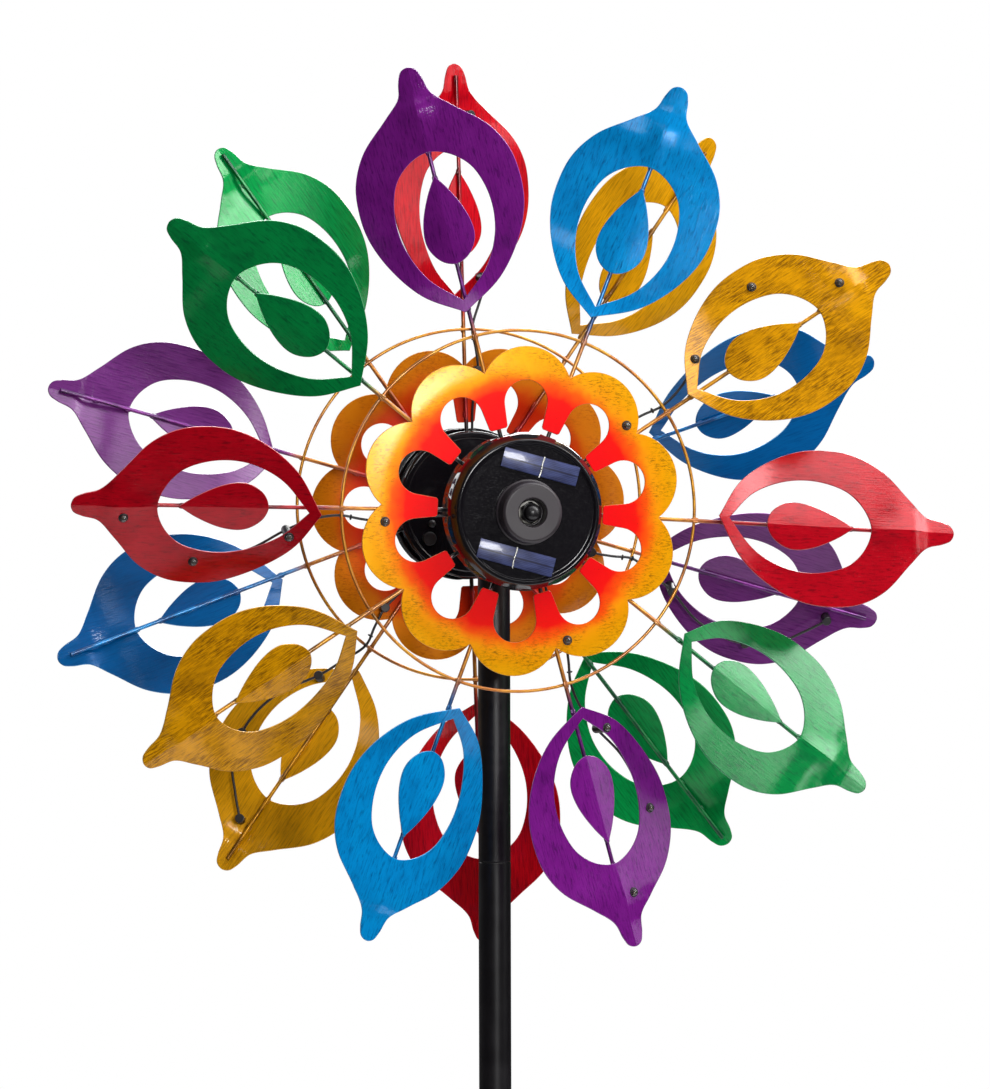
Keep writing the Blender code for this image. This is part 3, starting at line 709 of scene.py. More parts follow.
def enamel(name, seed):
    """Hand-brushed translucent enamel on a bright sheet."""
    base, deep, bright, edge, back = (linear(*c) for c in ENAMELS[name])
    made = Nodes(name + "_enamel_look")
    clouds = made.strokes((30, 45, 0), 3.0, 0.6, seed)
    streaks = made.strokes((70, 900, 0), 4.0, 0.65, seed + 3)
    fine = made.strokes((500, 2600, 0), 2.0, 0.5, seed + 5)
    marks = made.strokes((110, 520, 0), 5.0, 0.7, seed + 7)
    colour = made.mix(made.step(clouds, 0.45, 0.75, 0.0, 0.35), base, bright)
    colour = made.mix(made.step(clouds, 0.50, 0.25, 0.0, 0.45), colour, deep)
    colour = made.mix(made.step(streaks, 0.48, 0.76, 0.0, 0.75), colour, deep)
    colour = made.mix(made.step(marks, 0.50, 0.68, 0.0, 0.75), colour, deep)
    if name == "gold":
        rubs = made.strokes((100, 1100, 0), 5.0, 0.7, seed + 9)
        patches = made.noise(made.stretched((1, 1, 0)), 42.0, 2.0, 0.5, seed + 11)
        worn = made.times(made.step(rubs, 0.42, 0.62), made.step(patches, 0.28, 0.58))
        colour = made.mix(made.times(worn, 0.85), colour, linear(92, 54, 4))
    made.bump(made.maths("ADD", streaks, made.times(fine, 0.12)), 0.00013, coat=True)
    dull = made.mix(made.step(streaks, 0.42, 0.72, 0.0, 0.7), back, deep)
    # edge: the enamel's pale colour, painted on the rims as a highlight
    return painted_sheet(made, colour, dull, edge, 0.26, 0.36, 0.55, 0.08)


def flower_enamel():
    """Red at the legs, through orange to amber at the lobes, with dark brush marks."""
    made = Nodes("flower_enamel_look")
    flat = made.stretched((1, 1, 0))
    reach = made.add("ShaderNodeVectorMath", {0: flat}, operation="LENGTH").outputs["Value"]
    reach = made.wander(reach, made.noise(flat, 38.0, 3.0, 0.6, 21.0), 0.020)
    colour = made.ramp(made.step(reach, 0.056, 0.112), [
        (0.0, (236, 2, 12)), (0.36, (240, 14, 6)), (0.58, (244, 86, 2)), (0.76, (244, 152, 2)),
        (1.0, (240, 166, 4)),
    ])
    rubs = made.strokes((260, 800, 0), 5.0, 0.75, 23.0)
    specks = made.noise(flat, 700.0, 2.0, 0.5, 25.0)
    patches = made.noise(flat, 55.0, 2.0, 0.5, 27.0)
    worn = made.times(made.step(rubs, 0.46, 0.64), made.step(patches, 0.32, 0.60))
    worn = made.times(worn, made.step(reach, 0.078, 0.098, 0.12, 1.0))
    colour = made.mix(made.times(worn, 0.75), colour, linear(104, 56, 6))
    colour = made.mix(made.step(specks, 0.68, 0.76, 0.0, 0.6), colour, linear(90, 40, 6))
    made.bump(made.strokes((400, 1200, 0), 3.0, 0.6, 29.0), 0.00004, coat=True)
    dull = made.mix(0.60, colour, linear(168, 54, 6))
    # linear(250, 205, 130) is painted on the flower's rims as a highlight along its cut edges
    return painted_sheet(made, colour, dull, linear(250, 205, 130), 0.30, 0.42, 0.25, 0.12)


def rod_paint(name):
    """Wire painted black at the hub, red and copper-gold to the ring, and its petal's colour beyond."""
    made = Nodes(name + "_rod_look")
    noise = made.strokes((60, 200, 200), 3.0, 0.6, 31.0)
    run = made.wander(made.part(0), noise, 0.014)
    base, deep, *_ = (linear(*c) for c in ENAMELS[name])
    painted = made.mix(made.step(noise, 0.40, 0.62), deep, base)
    worn = made.mix(made.step(noise, 0.36, 0.64), linear(150, 78, 34), linear(216, 146, 48))
    shade = made.mix(made.step(run, 0.054, 0.060), linear(14, 12, 14), linear(165, 18, 22))
    shade = made.mix(made.step(run, 0.078, 0.096), shade, worn)
    shade = made.mix(made.step(run, 0.116, 0.138), shade, painted)
    made.bump(made.strokes((900, 2500, 2500), 2.0, 0.5, 33.0), 0.00004)
    return made.finish(Base_Color=shade, Metallic=0.55, Roughness=0.34, Coat_Weight=0.6, Coat_Roughness=0.15)


def copper_wire():
    """The ring's wire: copper and gold enamel, darker in places."""
    made = Nodes("ring_wire_look")
    clouds = made.noise(made.plan, 24.0, 3.0, 0.6, 41.0)
    fine = made.noise(made.plan, 700.0, 2.0, 0.5, 43.0)
    colour = made.ramp(clouds, [
        (0.30, (112, 84, 34)), (0.45, (190, 112, 40)), (0.58, (222, 158, 44)), (0.72, (168, 84, 44)),
    ])
    colour = made.mix(made.step(fine, 0.60, 0.75, 0.0, 0.5), colour, linear(88, 52, 24))
    made.bump(fine, 0.00004)
    return made.finish(Base_Color=colour, Metallic=0.6, Roughness=0.33, Coat_Weight=0.6, Coat_Roughness=0.15)


def gloss_black():
    """Injection-moulded black plastic with a slight flow ripple and a few fine scuffs."""
    made = Nodes("gloss_black_look")
    scuffs = made.strokes((500, 2600, 900), 3.0, 0.6, 53.0)
    colour = made.mix(made.step(scuffs, 0.62, 0.80, 0.0, 0.4), linear(17, 15, 19), linear(44, 42, 48))
    made.bump(made.noise(made.plan, 60.0, 2.0, 0.5, 51.0), 0.00010)
    return made.finish(
        Base_Color=colour, Roughness=made.step(scuffs, 0.45, 0.80, 0.10, 0.26), Coat_Weight=0.3,
        Coat_Roughness=0.05, Specular_IOR_Level=0.25,
    )


def plain_coat(name, colour, roughness, grain, scale, metallic):
    """Powder coat or matt plastic with a fine orange-peel grain and faint cloudy wear."""
    made = Nodes(name + "_look")
    clouds = made.noise(made.plan, 30.0, 3.0, 0.6, 63.0)
    light = linear(*[min(255, int(c * 1.35) + 8) for c in colour])
    shade = made.mix(made.step(clouds, 0.45, 0.75, 0.0, 0.6), linear(*colour), light)
    made.bump(made.noise(made.plan, scale, 2.0, 0.5, 61.0), grain)
    return made.finish(
        Base_Color=shade, Metallic=metallic, Coat_Weight=0.15, Coat_Roughness=0.3,
        Roughness=made.step(clouds, 0.3, 0.7, roughness - 0.05, roughness + 0.06),
    )


def brushed_steel():
    made = Nodes("steel_look")
    marks = made.strokes((300, 300, 2500), 3.0, 0.6, 71.0)
    colour = made.mix(made.step(marks, 0.4, 0.7), linear(178, 178, 182), linear(215, 215, 220))
    made.bump(marks, 0.00003)
    return made.finish(Base_Color=colour, Metallic=1.0, Roughness=made.step(marks, 0.3, 0.7, 0.22, 0.34))


def solar_cell():
    """Deep blue silicon under glass, with fine fingers along the cell and a darker middle line."""
    made = Nodes("solar_cell_look")
    across = made.part(0)
    lines = made.step(made.maths("PINGPONG", across, 0.00055), 0.00014, 0.00003)
    middle = made.step(made.maths("ABSOLUTE", across), 0.0006, 0.0003)
    grain = made.strokes((260, 90, 0), 2.0, 0.5, 81.0)
    colour = made.mix(made.step(grain, 0.35, 0.65), linear(30, 36, 78), linear(52, 62, 112))
    colour = made.mix(made.times(lines, 0.45), colour, linear(96, 108, 160))
    colour = made.mix(made.times(middle, 0.9), colour, linear(12, 14, 34))
    made.bump(lines, 0.00004)
    return made.finish(Base_Color=colour, Metallic=0.15, Roughness=0.30, Coat_Weight=0.3, Coat_Roughness=0.08)


def clear_dome():
    """Water-clear lens of a small lamp, slightly warm."""
    made = Nodes("lamp_dome_look")
    made.bump(made.noise(made.plan, 900.0, 1.0, 0.5, 91.0), 0.00003)
    return made.finish(
        Base_Color=linear(96, 92, 92), Roughness=0.05, IOR=1.49, Transmission_Weight=0.6,
        Coat_Weight=0.5, Coat_Roughness=0.02,
    )


def circuit_green():
    """Solder mask with tracks and pads."""
    made = Nodes("circuit_board_look")
    place = made.objects_place()
    tracks = made.add("ShaderNodeTexBrick", {"Vector": place, "Scale": 240.0, "Mortar Size": 0.03})
    pads = made.noise(place, 420.0, 2.0, 0.5, 95.0)
    colour = made.mix(tracks.outputs["Fac"], linear(14, 84, 46), linear(38, 128, 72))
    colour = made.mix(made.step(pads, 0.66, 0.70), colour, linear(190, 186, 170))
    return made.finish(Base_Color=colour, Roughness=0.4)


def battery_wrap():
    """Heat-shrink sleeve with soft wrinkles."""
    made = Nodes("battery_wrap_look")
    wrinkles = made.noise(made.objects_place(), 180.0, 3.0, 0.5, 97.0)
    colour = made.mix(made.step(wrinkles, 0.4, 0.7), linear(24, 110, 60), linear(40, 142, 84))
    made.bump(wrinkles, 0.0001)
    return made.finish(Base_Color=colour, Roughness=0.35)


def make_looks():
    looks = {
        "amber_red_enamel": flower_enamel(), "copper_wire": copper_wire(), "gloss_black": gloss_black(),
        "steel": brushed_steel(), "solar_cell": solar_cell(), "lamp_dome": clear_dome(),
        "circuit_board": circuit_green(), "battery_wrap": battery_wrap(),
    }
    for i, name in enumerate(COLOUR_ORDER):
        looks[name + "_enamel"] = enamel(name, 10.0 * i)
        looks[name + "_rod"] = rod_paint(name)
    for name, settings in PLAIN_COATS.items():
        looks[name] = plain_coat(name, *settings)
    return looks


LOOKS = make_looks()


# ---------------------------------------------------------------- wheel

class Wheel:
    """One wheel's names, axes and rods; side is -1 in front of the pole and +1 behind it.

    The rods go clockwise as the wheel's own front is seen.
    """

    def __init__(self, prefix, side, phase, offsets, reach, string_rods):
        self.prefix = prefix
        self.phase = phase
        self.reach = reach
        self.tilt = side * PETAL_TILT
        self.string_rods = string_rods
        self.angles = [phase - i * ROD_STEP + math.radians(offset) for i, offset in enumerate(offsets)]
        facing = Matrix.Rotation(math.pi if side > 0 else 0.0, 4, "Z") @ Matrix.Rotation(math.pi / 2, 4, "X")
        self.axes = Matrix.Translation((0, side * WHEEL_OFFSET, AXLE_HEIGHT)) @ facing

    def piece(self, name, bm, look, node=None, place=Matrix.Identity(4), slot=None, sharp=45, body="wheel"):
        """A piece of this wheel, from a shape in the wheel's axes or in those of place."""
        replaced = self.prefix + node if node else None
        matrix = self.axes @ place
        return finish_piece(self.prefix + name, bm, look, replaced, self.prefix + body, matrix, sharp)


def rod_frame(angle, tilt=0.0):
    """The axes of the rod at this angle in its wheel, with its petal tilted about it."""
    return Matrix.Rotation(angle, 4, "Z") @ Matrix.Rotation(tilt, 4, "X")


def petal_height(x, y):
    """The back of a petal: crowned across, high at its base, and pinched round the rod at its nib."""
    along = x - PETAL_START
    across = abs(y)
    opening_end = OPENING_HALF[-1][0]
    crown = PETAL_CREASE * across + PETAL_DROP * (across / PETAL_WIDEST) ** 1.6
    near = max(0.0, 1 - along / BASE_LENGTH) ** 2
    base = (BASE_RISE + BASE_TWIST * y) * near
    nib = smoothstep(opening_end + 0.5 * (NIB_START - opening_end), NIB_START, along)
    ridge = smoothstep(opening_end, NIB_START, along) - smoothstep(NIB_START, NIB_START + NIB_FALL, along)
    ridge *= RIDGE_RISE
    pinch = NIB_DROP * nib * min(1.5, across / NIB_HALF) ** 1.5
    rib = RIB_RISE * smoothstep(opening_end - 0.002, opening_end + 0.012, along)
    rib *= 1 - smoothstep(NIB_START, NIB_START + NIB_FALL, along)
    rib *= 1 - smoothstep(0.3 * RIB_HALF, RIB_HALF, across)
    return ROD_RADIUS + GAP + base + ridge + rib - crown - pinch


def leaf_height(x, y):
    across = abs(y)
    return ROD_RADIUS - LEAF_WELD - LEAF_CREASE * across - LEAF_DROP * (across / LEAF_WIDEST) ** 2


def flower_height(x, y):
    """The back of the flower: its lobes roll off a little towards their edges."""
    outer = FLOWER_LOBE_CENTRE + FLOWER_LOBE_RADIUS
    return ROD_RADIUS + GAP - FLOWER_ROLL * smoothstep(FLOWER_ROLL_START, outer, math.hypot(x, y))


def line_points(start, end, cell=SHEET_CELL):
    """Evenly spaced points on the rod's line."""
    count = max(2, round((end - start) / cell))
    return [Vector((start + (end - start) * i / count, 0.0)) for i in range(count + 1)]


def make_petal(wheel, i, tag, colour):
    loops = [both_sides(PETAL_HALF, {0}), both_sides(OPENING_HALF, {0})]
    if i in wheel.string_rods:
        loops += [circle(lamp, LAMP_HOLE_RADIUS, 24) for lamp in PETAL_LAMPS]
    inset = 2 * EDGE_ROUND
    creases = [
        line_points(PETAL_START + inset, PETAL_START + OPENING_HALF[0][0] - inset, 0.002),
        line_points(PETAL_START + OPENING_HALF[-1][0] + inset, PETAL_START + PETAL_HALF[-1][0] - inset),
    ]
    bm = sheet(loops, creases, petal_height)
    place = rod_frame(wheel.angles[i], wheel.tilt) @ Matrix.Translation((wheel.reach[i], 0, 0))
    wheel.piece(f"petal_{tag}_sheet", bm, colour + "_enamel", "petal_" + tag, place, sharp=0)


def make_leaf(wheel, i, tag, colour):
    start, end = (PETAL_START + LEAF_HALF[k][0] for k in (0, -1))
    inset = 2 * EDGE_ROUND
    outline = both_sides(LEAF_HALF, {len(LEAF_HALF) - 1})
    bm = sheet([outline], [line_points(start + inset, end - inset, 0.003)], leaf_height, 0.003)
    place = rod_frame(wheel.angles[i], wheel.tilt)
    wheel.piece("leaf_" + tag, bm, colour + "_enamel", "spoke_frame", place, sharp=0)


def make_rod(wheel, i, tag, colour):
    """One rod from the carrier ring in the hub to its petal's nib, with its weld beads."""
    profile = bar_profile(ROD_RADIUS, INNER_RING_RADIUS, ROD_END, 0.0006)
    bm = turning(profile, 16, matrix=Matrix.Rotation(math.pi / 2, 4, "Y"))
    for vert in bm.verts:
        vert[plan_layer(bm)] = vert.co
    for along in ROD_WELDS:
        for side in (-1, 1):
            bead(bm, (along, side * WELD_PLACE[0], WELD_PLACE[1]), WELD_SIZE)
    place = rod_frame(wheel.angles[i], wheel.tilt)
    wheel.piece("rod_" + tag, bm, colour + "_rod", "spoke_frame", place, "copper_wire", 50)


def make_rings(wheel):
    for name, look, radius, height in (
        ("outer_ring", "copper_wire", RING_RADIUS, GAP - ROD_RADIUS - RING_WIRE),
        ("carrier_ring", "black_hardware", INNER_RING_RADIUS, -GAP),
    ):
        bm = turning(circle((radius, height), RING_WIRE, 12), 120)
        wheel.piece(name, bm, look, "spoke_frame", sharp=50)


def make_flower(wheel):
    lobe_half, hole_half = FLOWER_LOBE_HALF_ANGLE, FLOWER_HOLE_HALF_ANGLE
    lobe = circle((FLOWER_LOBE_CENTRE, 0.0), FLOWER_LOBE_RADIUS, 22, -lobe_half, 2 * lobe_half)
    hole = circle((FLOWER_HOLE_CENTRE, 0.0), FLOWER_HOLE_RADIUS, 24, -hole_half, 2 * hole_half)
    outer = []
    inner = []
    for i in range(ROD_COUNT):
        turn = wheel.phase + i * ROD_STEP
        outer += turned_points(lobe[:-1], turn + ROD_STEP / 2)
        inner += leg_outline(turn) + turned_points(hole, turn + ROD_STEP / 2)
    lamps = [turned_points([FLOWER_LAMP], wheel.angles[i])[0] for i in wheel.string_rods]
    holes = [circle(lamp, LAMP_HOLE_RADIUS, 24) for lamp in lamps]
    bm = sheet([outer, inner, *holes], [], flower_height, 0.0035)
    wheel.piece("flower_sheet", bm, "amber_red_enamel", "flower", sharp=0)


def leg_outline(turn):
    """The end of one leg, with its two corners rounded, flaring to the holes beside it."""
    end, half, corner = FLOWER_LEG_END, FLOWER_LEG_HALF, FLOWER_LEG_CORNER
    points = [(end + corner, -half), (end, -half + corner), (end, half - corner), (end + corner, half)]
    return turned_points(points, turn)


def string_route(angle, tilt):
    """The cable's way out of the hub, past the ring and round the arm of one petal, behind the sheet."""
    flat = rod_frame(angle)
    tilted = rod_frame(angle, tilt)
    near = [
        (0.0445, 0.0036, 0.0000), (0.0540, 0.0040, -0.0004), (0.0700, 0.0045, -0.0025),
        (0.0815, 0.0065, -0.0040), (0.0922, 0.0085, -0.0045), (0.1070, 0.0072, -0.0052),
        (0.1210, 0.0050, -0.0056),
    ]
    far = [
        (0.1380, 0.0100, -0.0050), (0.1565, 0.0185, -0.0052), (0.1790, 0.0330, -0.0064),
        (0.2000, 0.0395, -0.0072), (0.2186, 0.0400, -0.0072), (0.2380, 0.0350, -0.0064),
        (0.2550, 0.0210, -0.0054), (0.2685, 0.0080, -0.0045),
    ]
    return [flat @ Vector(p) for p in near] + [tilted @ Vector(p) for p in far]


def make_light_string(wheel, number, angle):
    """One cable with its four sockets, lenses and bezels, and the ties that hold it."""
    name = f"light_string_{number}"
    route = string_route(angle, wheel.tilt)
    bm = new_shape()
    tube(bm, spline(route, set(), 6, closed=False), CABLE_RADIUS, 10)
    lamps = [(FLOWER_LAMP, rod_frame(angle), flower_height, FLOWER_LAMP_DEPTH)]
    for lamp, depth in zip(PETAL_LAMPS, PETAL_LAMP_DEPTHS):
        lamps.append((lamp, rod_frame(angle, wheel.tilt), petal_height, depth))
    for (x, y), turn, height, depth in lamps:
        back = height(x, y)
        spot = turn @ Matrix.Translation((x, y, 0))
        low = depth - SOCKET_OVERLAP
        neck = LAMP_RADIUS + 0.0002
        socket = [
            (0, low), (LAMP_SOCKET_RADIUS, low), (LAMP_SOCKET_RADIUS, back - GAP), (neck, back - GAP),
            (neck, back + SHEET), (0, back + SHEET),
        ]
        turned(bm, filleted(socket, 0.0005), 24, spot)
        turned(bm, circle((LAMP_RADIUS + 0.0003, back + SHEET + 0.0002), BEZEL_WIRE, 10), 28, spot)
    for place, after in (((route[5] + route[6]) / 2, 5), (route[6], 6)):
        along = (route[after + 1] - route[after - 1]).normalized().to_track_quat("Z", "Y")
        tie = Matrix.Translation(place) @ along.to_matrix().to_4x4()
        turned(bm, circle((CABLE_RADIUS + 0.0005, 0.0), TIE_WIRE, 8), 18, tie)
    wheel.piece(name + "_cable", bm, "cable_black", name)
    make_lenses(wheel, name, lamps)


def make_lenses(wheel, name, lamps):
    """The clear domes, each over a small yellow chip."""
    domes = new_shape()
    chips = new_shape()
    side = LAMP_PROUD - LAMP_RADIUS
    arc = circle((0, side), LAMP_RADIUS, 9, 0.0, math.pi / 2)
    profile = [(0, 0.0003), (LAMP_RADIUS, 0.0003), *arc[:-1], (0, LAMP_PROUD)]
    for (x, y), turn, height, _ in lamps:
        spot = turn @ Matrix.Translation((x, y, height(x, y) + SHEET))
        turned(domes, profile, 28, spot)
        plate(chips, CHIP_SIZE, 0.0001, (0, 0, CHIP_LIFT), spot)
    wheel.piece(name + "_domes", domes, "lamp_dome", slot="nylon", sharp=60)
    wheel.piece(name + "_chips", chips, "lamp_chip", slot="nylon", sharp=60)


# ---------------------------------------------------------------- hub

def notch_lift(angle, rods, reach, half, soft):
    """How far up an edge is notched at this angle: full over a rod, and none between rods."""
    nearest = min(abs((angle - rod + math.pi) % (2 * math.pi) - math.pi) for rod in rods)
    return reach * (1 - smoothstep(half, half + soft, nearest))


def make_front_shell(wheel):
    """The hub's front: a skirt notched over the rods, a rolled lip and a sunk face."""
    inner = HUB_RADIUS + GAP
    lip = SHELL_LIP_RADIUS

    def profile_at(angle):
        end = SHELL_SKIRT_END + notch_lift(angle, wheel.angles, SHELL_NOTCH, NOTCH_HALF_ANGLE, 0.035)
        outer = SHELL_RADIUS + 0.0004 - notch_lift(angle, wheel.angles, 0.0007, NOTCH_HALF_ANGLE, 0.10)
        return filleted([
            (inner, end), (outer, end), (outer + 0.0002, SHELL_SHOULDER - 0.003),
            (SHELL_RADIUS - 0.0006, SHELL_SHOULDER + 0.0022), (lip + 0.0022, SHELL_LIP - 0.0022),
            (lip + 0.0010, SHELL_LIP), (lip - 0.0012, SHELL_LIP), (lip - 0.0022, FACE_HEIGHT),
            (COLLAR_HOLE, FACE_HEIGHT), (COLLAR_HOLE, FACE_HEIGHT - HUB_WALL),
            (lip - 0.001, FACE_HEIGHT - HUB_WALL), (inner, SHELL_SHOULDER - 0.001),
        ], 0.0012, 3)

    wheel.piece("hub_shell_moulding", swept_round(profile_at), "gloss_black", "hub_front_shell")


def button_place(wheel):
    turn = wheel.phase + BUTTON_TURN
    return Matrix.Translation((BUTTON_OFFSET * math.cos(turn), BUTTON_OFFSET * math.sin(turn), 0.0))


def make_back_cover(wheel):
    """The hub's back: a cup with notches at the rods, a stepped rim, and a hole for the button."""
    floor = HUB_BACK + HUB_WALL
    bore = SLEEVE_RADIUS + GAP
    boss = bore + COVER_BOSS_WALL
    step = HUB_BACK + 0.0006

    def profile_at(angle):
        top = COVER_RIM - notch_lift(angle, wheel.angles, COVER_NOTCH, NOTCH_HALF_ANGLE, 0.03)
        return filleted([
            (bore, HUB_BACK), (0.0125, HUB_BACK), (0.0135, step), (0.0455, step), (0.0465, HUB_BACK),
            (HUB_RADIUS - 0.0012, HUB_BACK), (HUB_RADIUS, HUB_BACK + 0.0018), (HUB_RADIUS, top),
            (HUB_RADIUS - HUB_WALL, top), (HUB_RADIUS - HUB_WALL, floor), (boss, floor),
            (boss, COVER_BOSS_TOP), (bore, COVER_BOSS_TOP),
        ], 0.0005, 2)

    cover = wheel.piece("hub_cover_moulding", swept_round(profile_at), "gloss_black", "hub_back_cover")
    low, high, hole = HUB_BACK - 0.004, floor + 0.002, BUTTON_RADIUS + 0.0005
    spot = wheel.axes @ button_place(wheel)
    bm = turning([(0, low), (hole, low), (hole, high), (0, high)], 32, matrix=spot)
    join_shape(cover, bm, "DIFFERENCE")


def make_button(wheel):
    """The push button: a cap with a shallow finger dish."""
    top = HUB_BACK - BUTTON_PROUD
    root = HUB_BACK + BUTTON_DEPTH
    bm = turning([
        (0, top + 0.0006), (BUTTON_RADIUS - 0.0014, top), (BUTTON_RADIUS, top), (BUTTON_RADIUS, root),
        (0, root),
    ], 36, 0.0008)
    wheel.piece("button_cap", bm, "button_black", "switch_button", button_place(wheel), body="switch")


def make_cover_screws(wheel):
    """Three cross-head screws that hold the back cover."""
    bm = new_shape()
    head, root, top = 0.0026, -0.001, 0.0011
    profile = filleted([(0, root), (head, root), (head, 0.0004), (0.0012, top), (0, top)], 0.0003)
    for k in range(3):
        angle = wheel.phase + COVER_SCREW_TURN + k * 2 * math.pi / 3
        place = (COVER_SCREW_OFFSET * math.cos(angle), COVER_SCREW_OFFSET * math.sin(angle), HUB_BACK)
        spot = Matrix.Translation(place) @ Matrix.Rotation(math.pi, 4, "X")
        turned(bm, profile, 28, spot)
        for turn in (0.35, 0.35 + math.pi / 2):
            cross = spot @ Matrix.Rotation(turn, 4, "Z")
            plate(bm, (0.0030, 0.0006, 0.0005), 0.0001, (0, 0, 0.0010), cross)
    wheel.piece("cover_screws", bm, "black_hardware")


def make_collar(wheel):
    """The raised grey boss, with a base ring, a soft rim and a recess for the nut, and its sleeve."""
    spigot = COLLAR_HOLE - GAP
    bore = SLEEVE_RADIUS + GAP
    seat = FACE_HEIGHT + GAP
    bm = turning([
        (bore, SPIGOT_END), (spigot, SPIGOT_END), (spigot, seat), (COLLAR_RADIUS + 0.0012, seat),
        (COLLAR_RADIUS + 0.0012, seat + 0.0010), (COLLAR_RADIUS - 0.0001, seat + 0.0018),
        (COLLAR_RADIUS - 0.0006, COLLAR_TOP - 0.0012), (COLLAR_RADIUS - 0.0022, COLLAR_TOP),
        (RECESS_RADIUS + 0.0010, COLLAR_TOP), (RECESS_RADIUS + 0.0004, COLLAR_TOP - 0.0008),
        (RECESS_RADIUS, COLLAR_FLOOR), (bore, COLLAR_FLOOR),
    ], 96, 0.0007, 3)
    wheel.piece("collar_moulding", bm, "collar_grey", "hub_collar")
    bm = turning([
        (BORE_RADIUS, SLEEVE_BACK), (SLEEVE_RADIUS, SLEEVE_BACK), (SLEEVE_RADIUS, SLEEVE_FRONT),
        (BORE_RADIUS, SLEEVE_FRONT),
    ], 48, 0.0005)
    wheel.piece("sleeve_turning", bm, "nylon", "bearing_sleeve")


def make_cells(wheel):
    """Two solar cells, each with a wavy silver busbar across its middle."""
    length, width, thickness = CELL_SIZE
    lift = FACE_HEIGHT + GAP + thickness / 2
    for number, side in ((1, 1), (2, -1)):
        name = f"solar_cell_{number}"
        spot = rod_frame(wheel.phase + CELL_TURN) @ Matrix.Translation((side * CELL_OFFSET, 0, lift))
        bm = new_shape()
        plate(bm, (width, length, thickness), 0.00015)
        wheel.piece(name + "_plate", bm, "solar_cell", name, spot)
        route = []
        for k in range(25):
            across = -width / 2 - 0.0006 + (width + 0.0012) * k / 24
            wave = 0.00018 * math.sin(9.0 * k / 24 + 2.0 * side)
            route.append(Vector((across, wave - 0.0010 * side, thickness / 2 + 0.0001)))
        bm = new_shape()
        tube(bm, route, 0.0006, 8)
        face = Matrix.Translation((0, 0, -thickness / 2))
        bmesh.ops.scale(bm, vec=(1, 1, 0.5), space=face, verts=bm.verts[:])
        wheel.piece(name + "_busbar", bm, "busbar", None, spot, "solar_cell", 60)


def make_wheel(*settings):
    wheel = Wheel(*settings)
    make_rings(wheel)
    make_flower(wheel)
    for i in range(ROD_COUNT):
        colour = COLOUR_ORDER[i % len(COLOUR_ORDER)]
        for make in (make_petal, make_leaf, make_rod):
            make(wheel, i, f"{i + 1}_{colour}", colour)
    for number, i in enumerate(wheel.string_rods, 1):
        make_light_string(wheel, number, wheel.angles[i])
    for make in (make_front_shell, make_back_cover, make_collar, make_cells, make_cover_screws, make_button):
        make(wheel)


# ---------------------------------------------------------------- stand

def make_pole():
    """The pole's head with its cross tube, and two sections below it, each slid on the next one's neck."""
    inner = POLE_RADIUS - POLE_WALL
    neck = inner - GAP
    bore = neck - POLE_WALL
    bm = turning([
        (0, HEAD_TOP), (POLE_RADIUS, HEAD_TOP), (POLE_RADIUS, HEAD_SEAM), (inner, HEAD_SEAM),
        (inner, HEAD_TOP - 0.002), (0, HEAD_TOP - 0.002),
    ], 48, 0.0008)
    head = finish_piece("pole_head_tube", bm, "pole_coat", "pole_head")
    lie = Matrix.Translation((0, 0, AXLE_HEIGHT)) @ Matrix.Rotation(math.pi / 2, 4, "X")
    half = CROSS_TUBE_HALF
    join_shape(head, turning(bar_profile(CROSS_TUBE_RADIUS, -half, half, 0.0006), 40, matrix=lie), "UNION")
    bm = turning(bar_profile(BORE_RADIUS, -2 * half, 2 * half, 0.0001), 40, matrix=lie)
    join_shape(head, bm, "DIFFERENCE")
    for number, node in enumerate(("pole_middle", "pole_lower")):
        top = HEAD_SEAM - number * SECTION_LENGTH
        bottom = top - SECTION_LENGTH
        bm = turning([
            (bore, top + NECK_LENGTH), (neck, top + NECK_LENGTH), (neck, top - GAP), (POLE_RADIUS, top - GAP),
            (POLE_RADIUS, bottom), (inner, bottom), (inner, bottom + NECK_LENGTH + 0.002),
            (bore, bottom + NECK_LENGTH + 0.004),
        ], 48, 0.0005)
        finish_piece(node + "_tube", bm, "pole_coat", node)


def make_joint_screws():
    """A round-head screw with a hexagon socket through each joint of the pole."""
    base = POLE_RADIUS + GAP
    head = base + SCREW_HEAD_HEIGHT
    socket = SCREW_SOCKET_RADIUS
    low, high = base + 0.0008, base + 0.004
    for number in range(3):
        height = HEAD_SEAM - number * SECTION_LENGTH + SCREW_DROP
        spot = Matrix.Translation((0, 0, height)) @ Matrix.Rotation(-math.pi / 2, 4, "X")
        bm = turning([
            (0, SCREW_END), (SCREW_RADIUS, SCREW_END), (SCREW_RADIUS, base), (SCREW_HEAD_RADIUS, base),
            (SCREW_HEAD_RADIUS, base + 0.0012), (0.0022, head - 0.0002), (0, head),
        ], 32, 0.0006, matrix=spot)
        name = f"joint_screw_{number + 1}"
        screw = finish_piece(name + "_head", bm, "black_hardware", name)
        bm = turning([(0, low), (socket, low), (socket, high), (0, high)], 6, matrix=spot)
        join_shape(screw, bm, "DIFFERENCE")


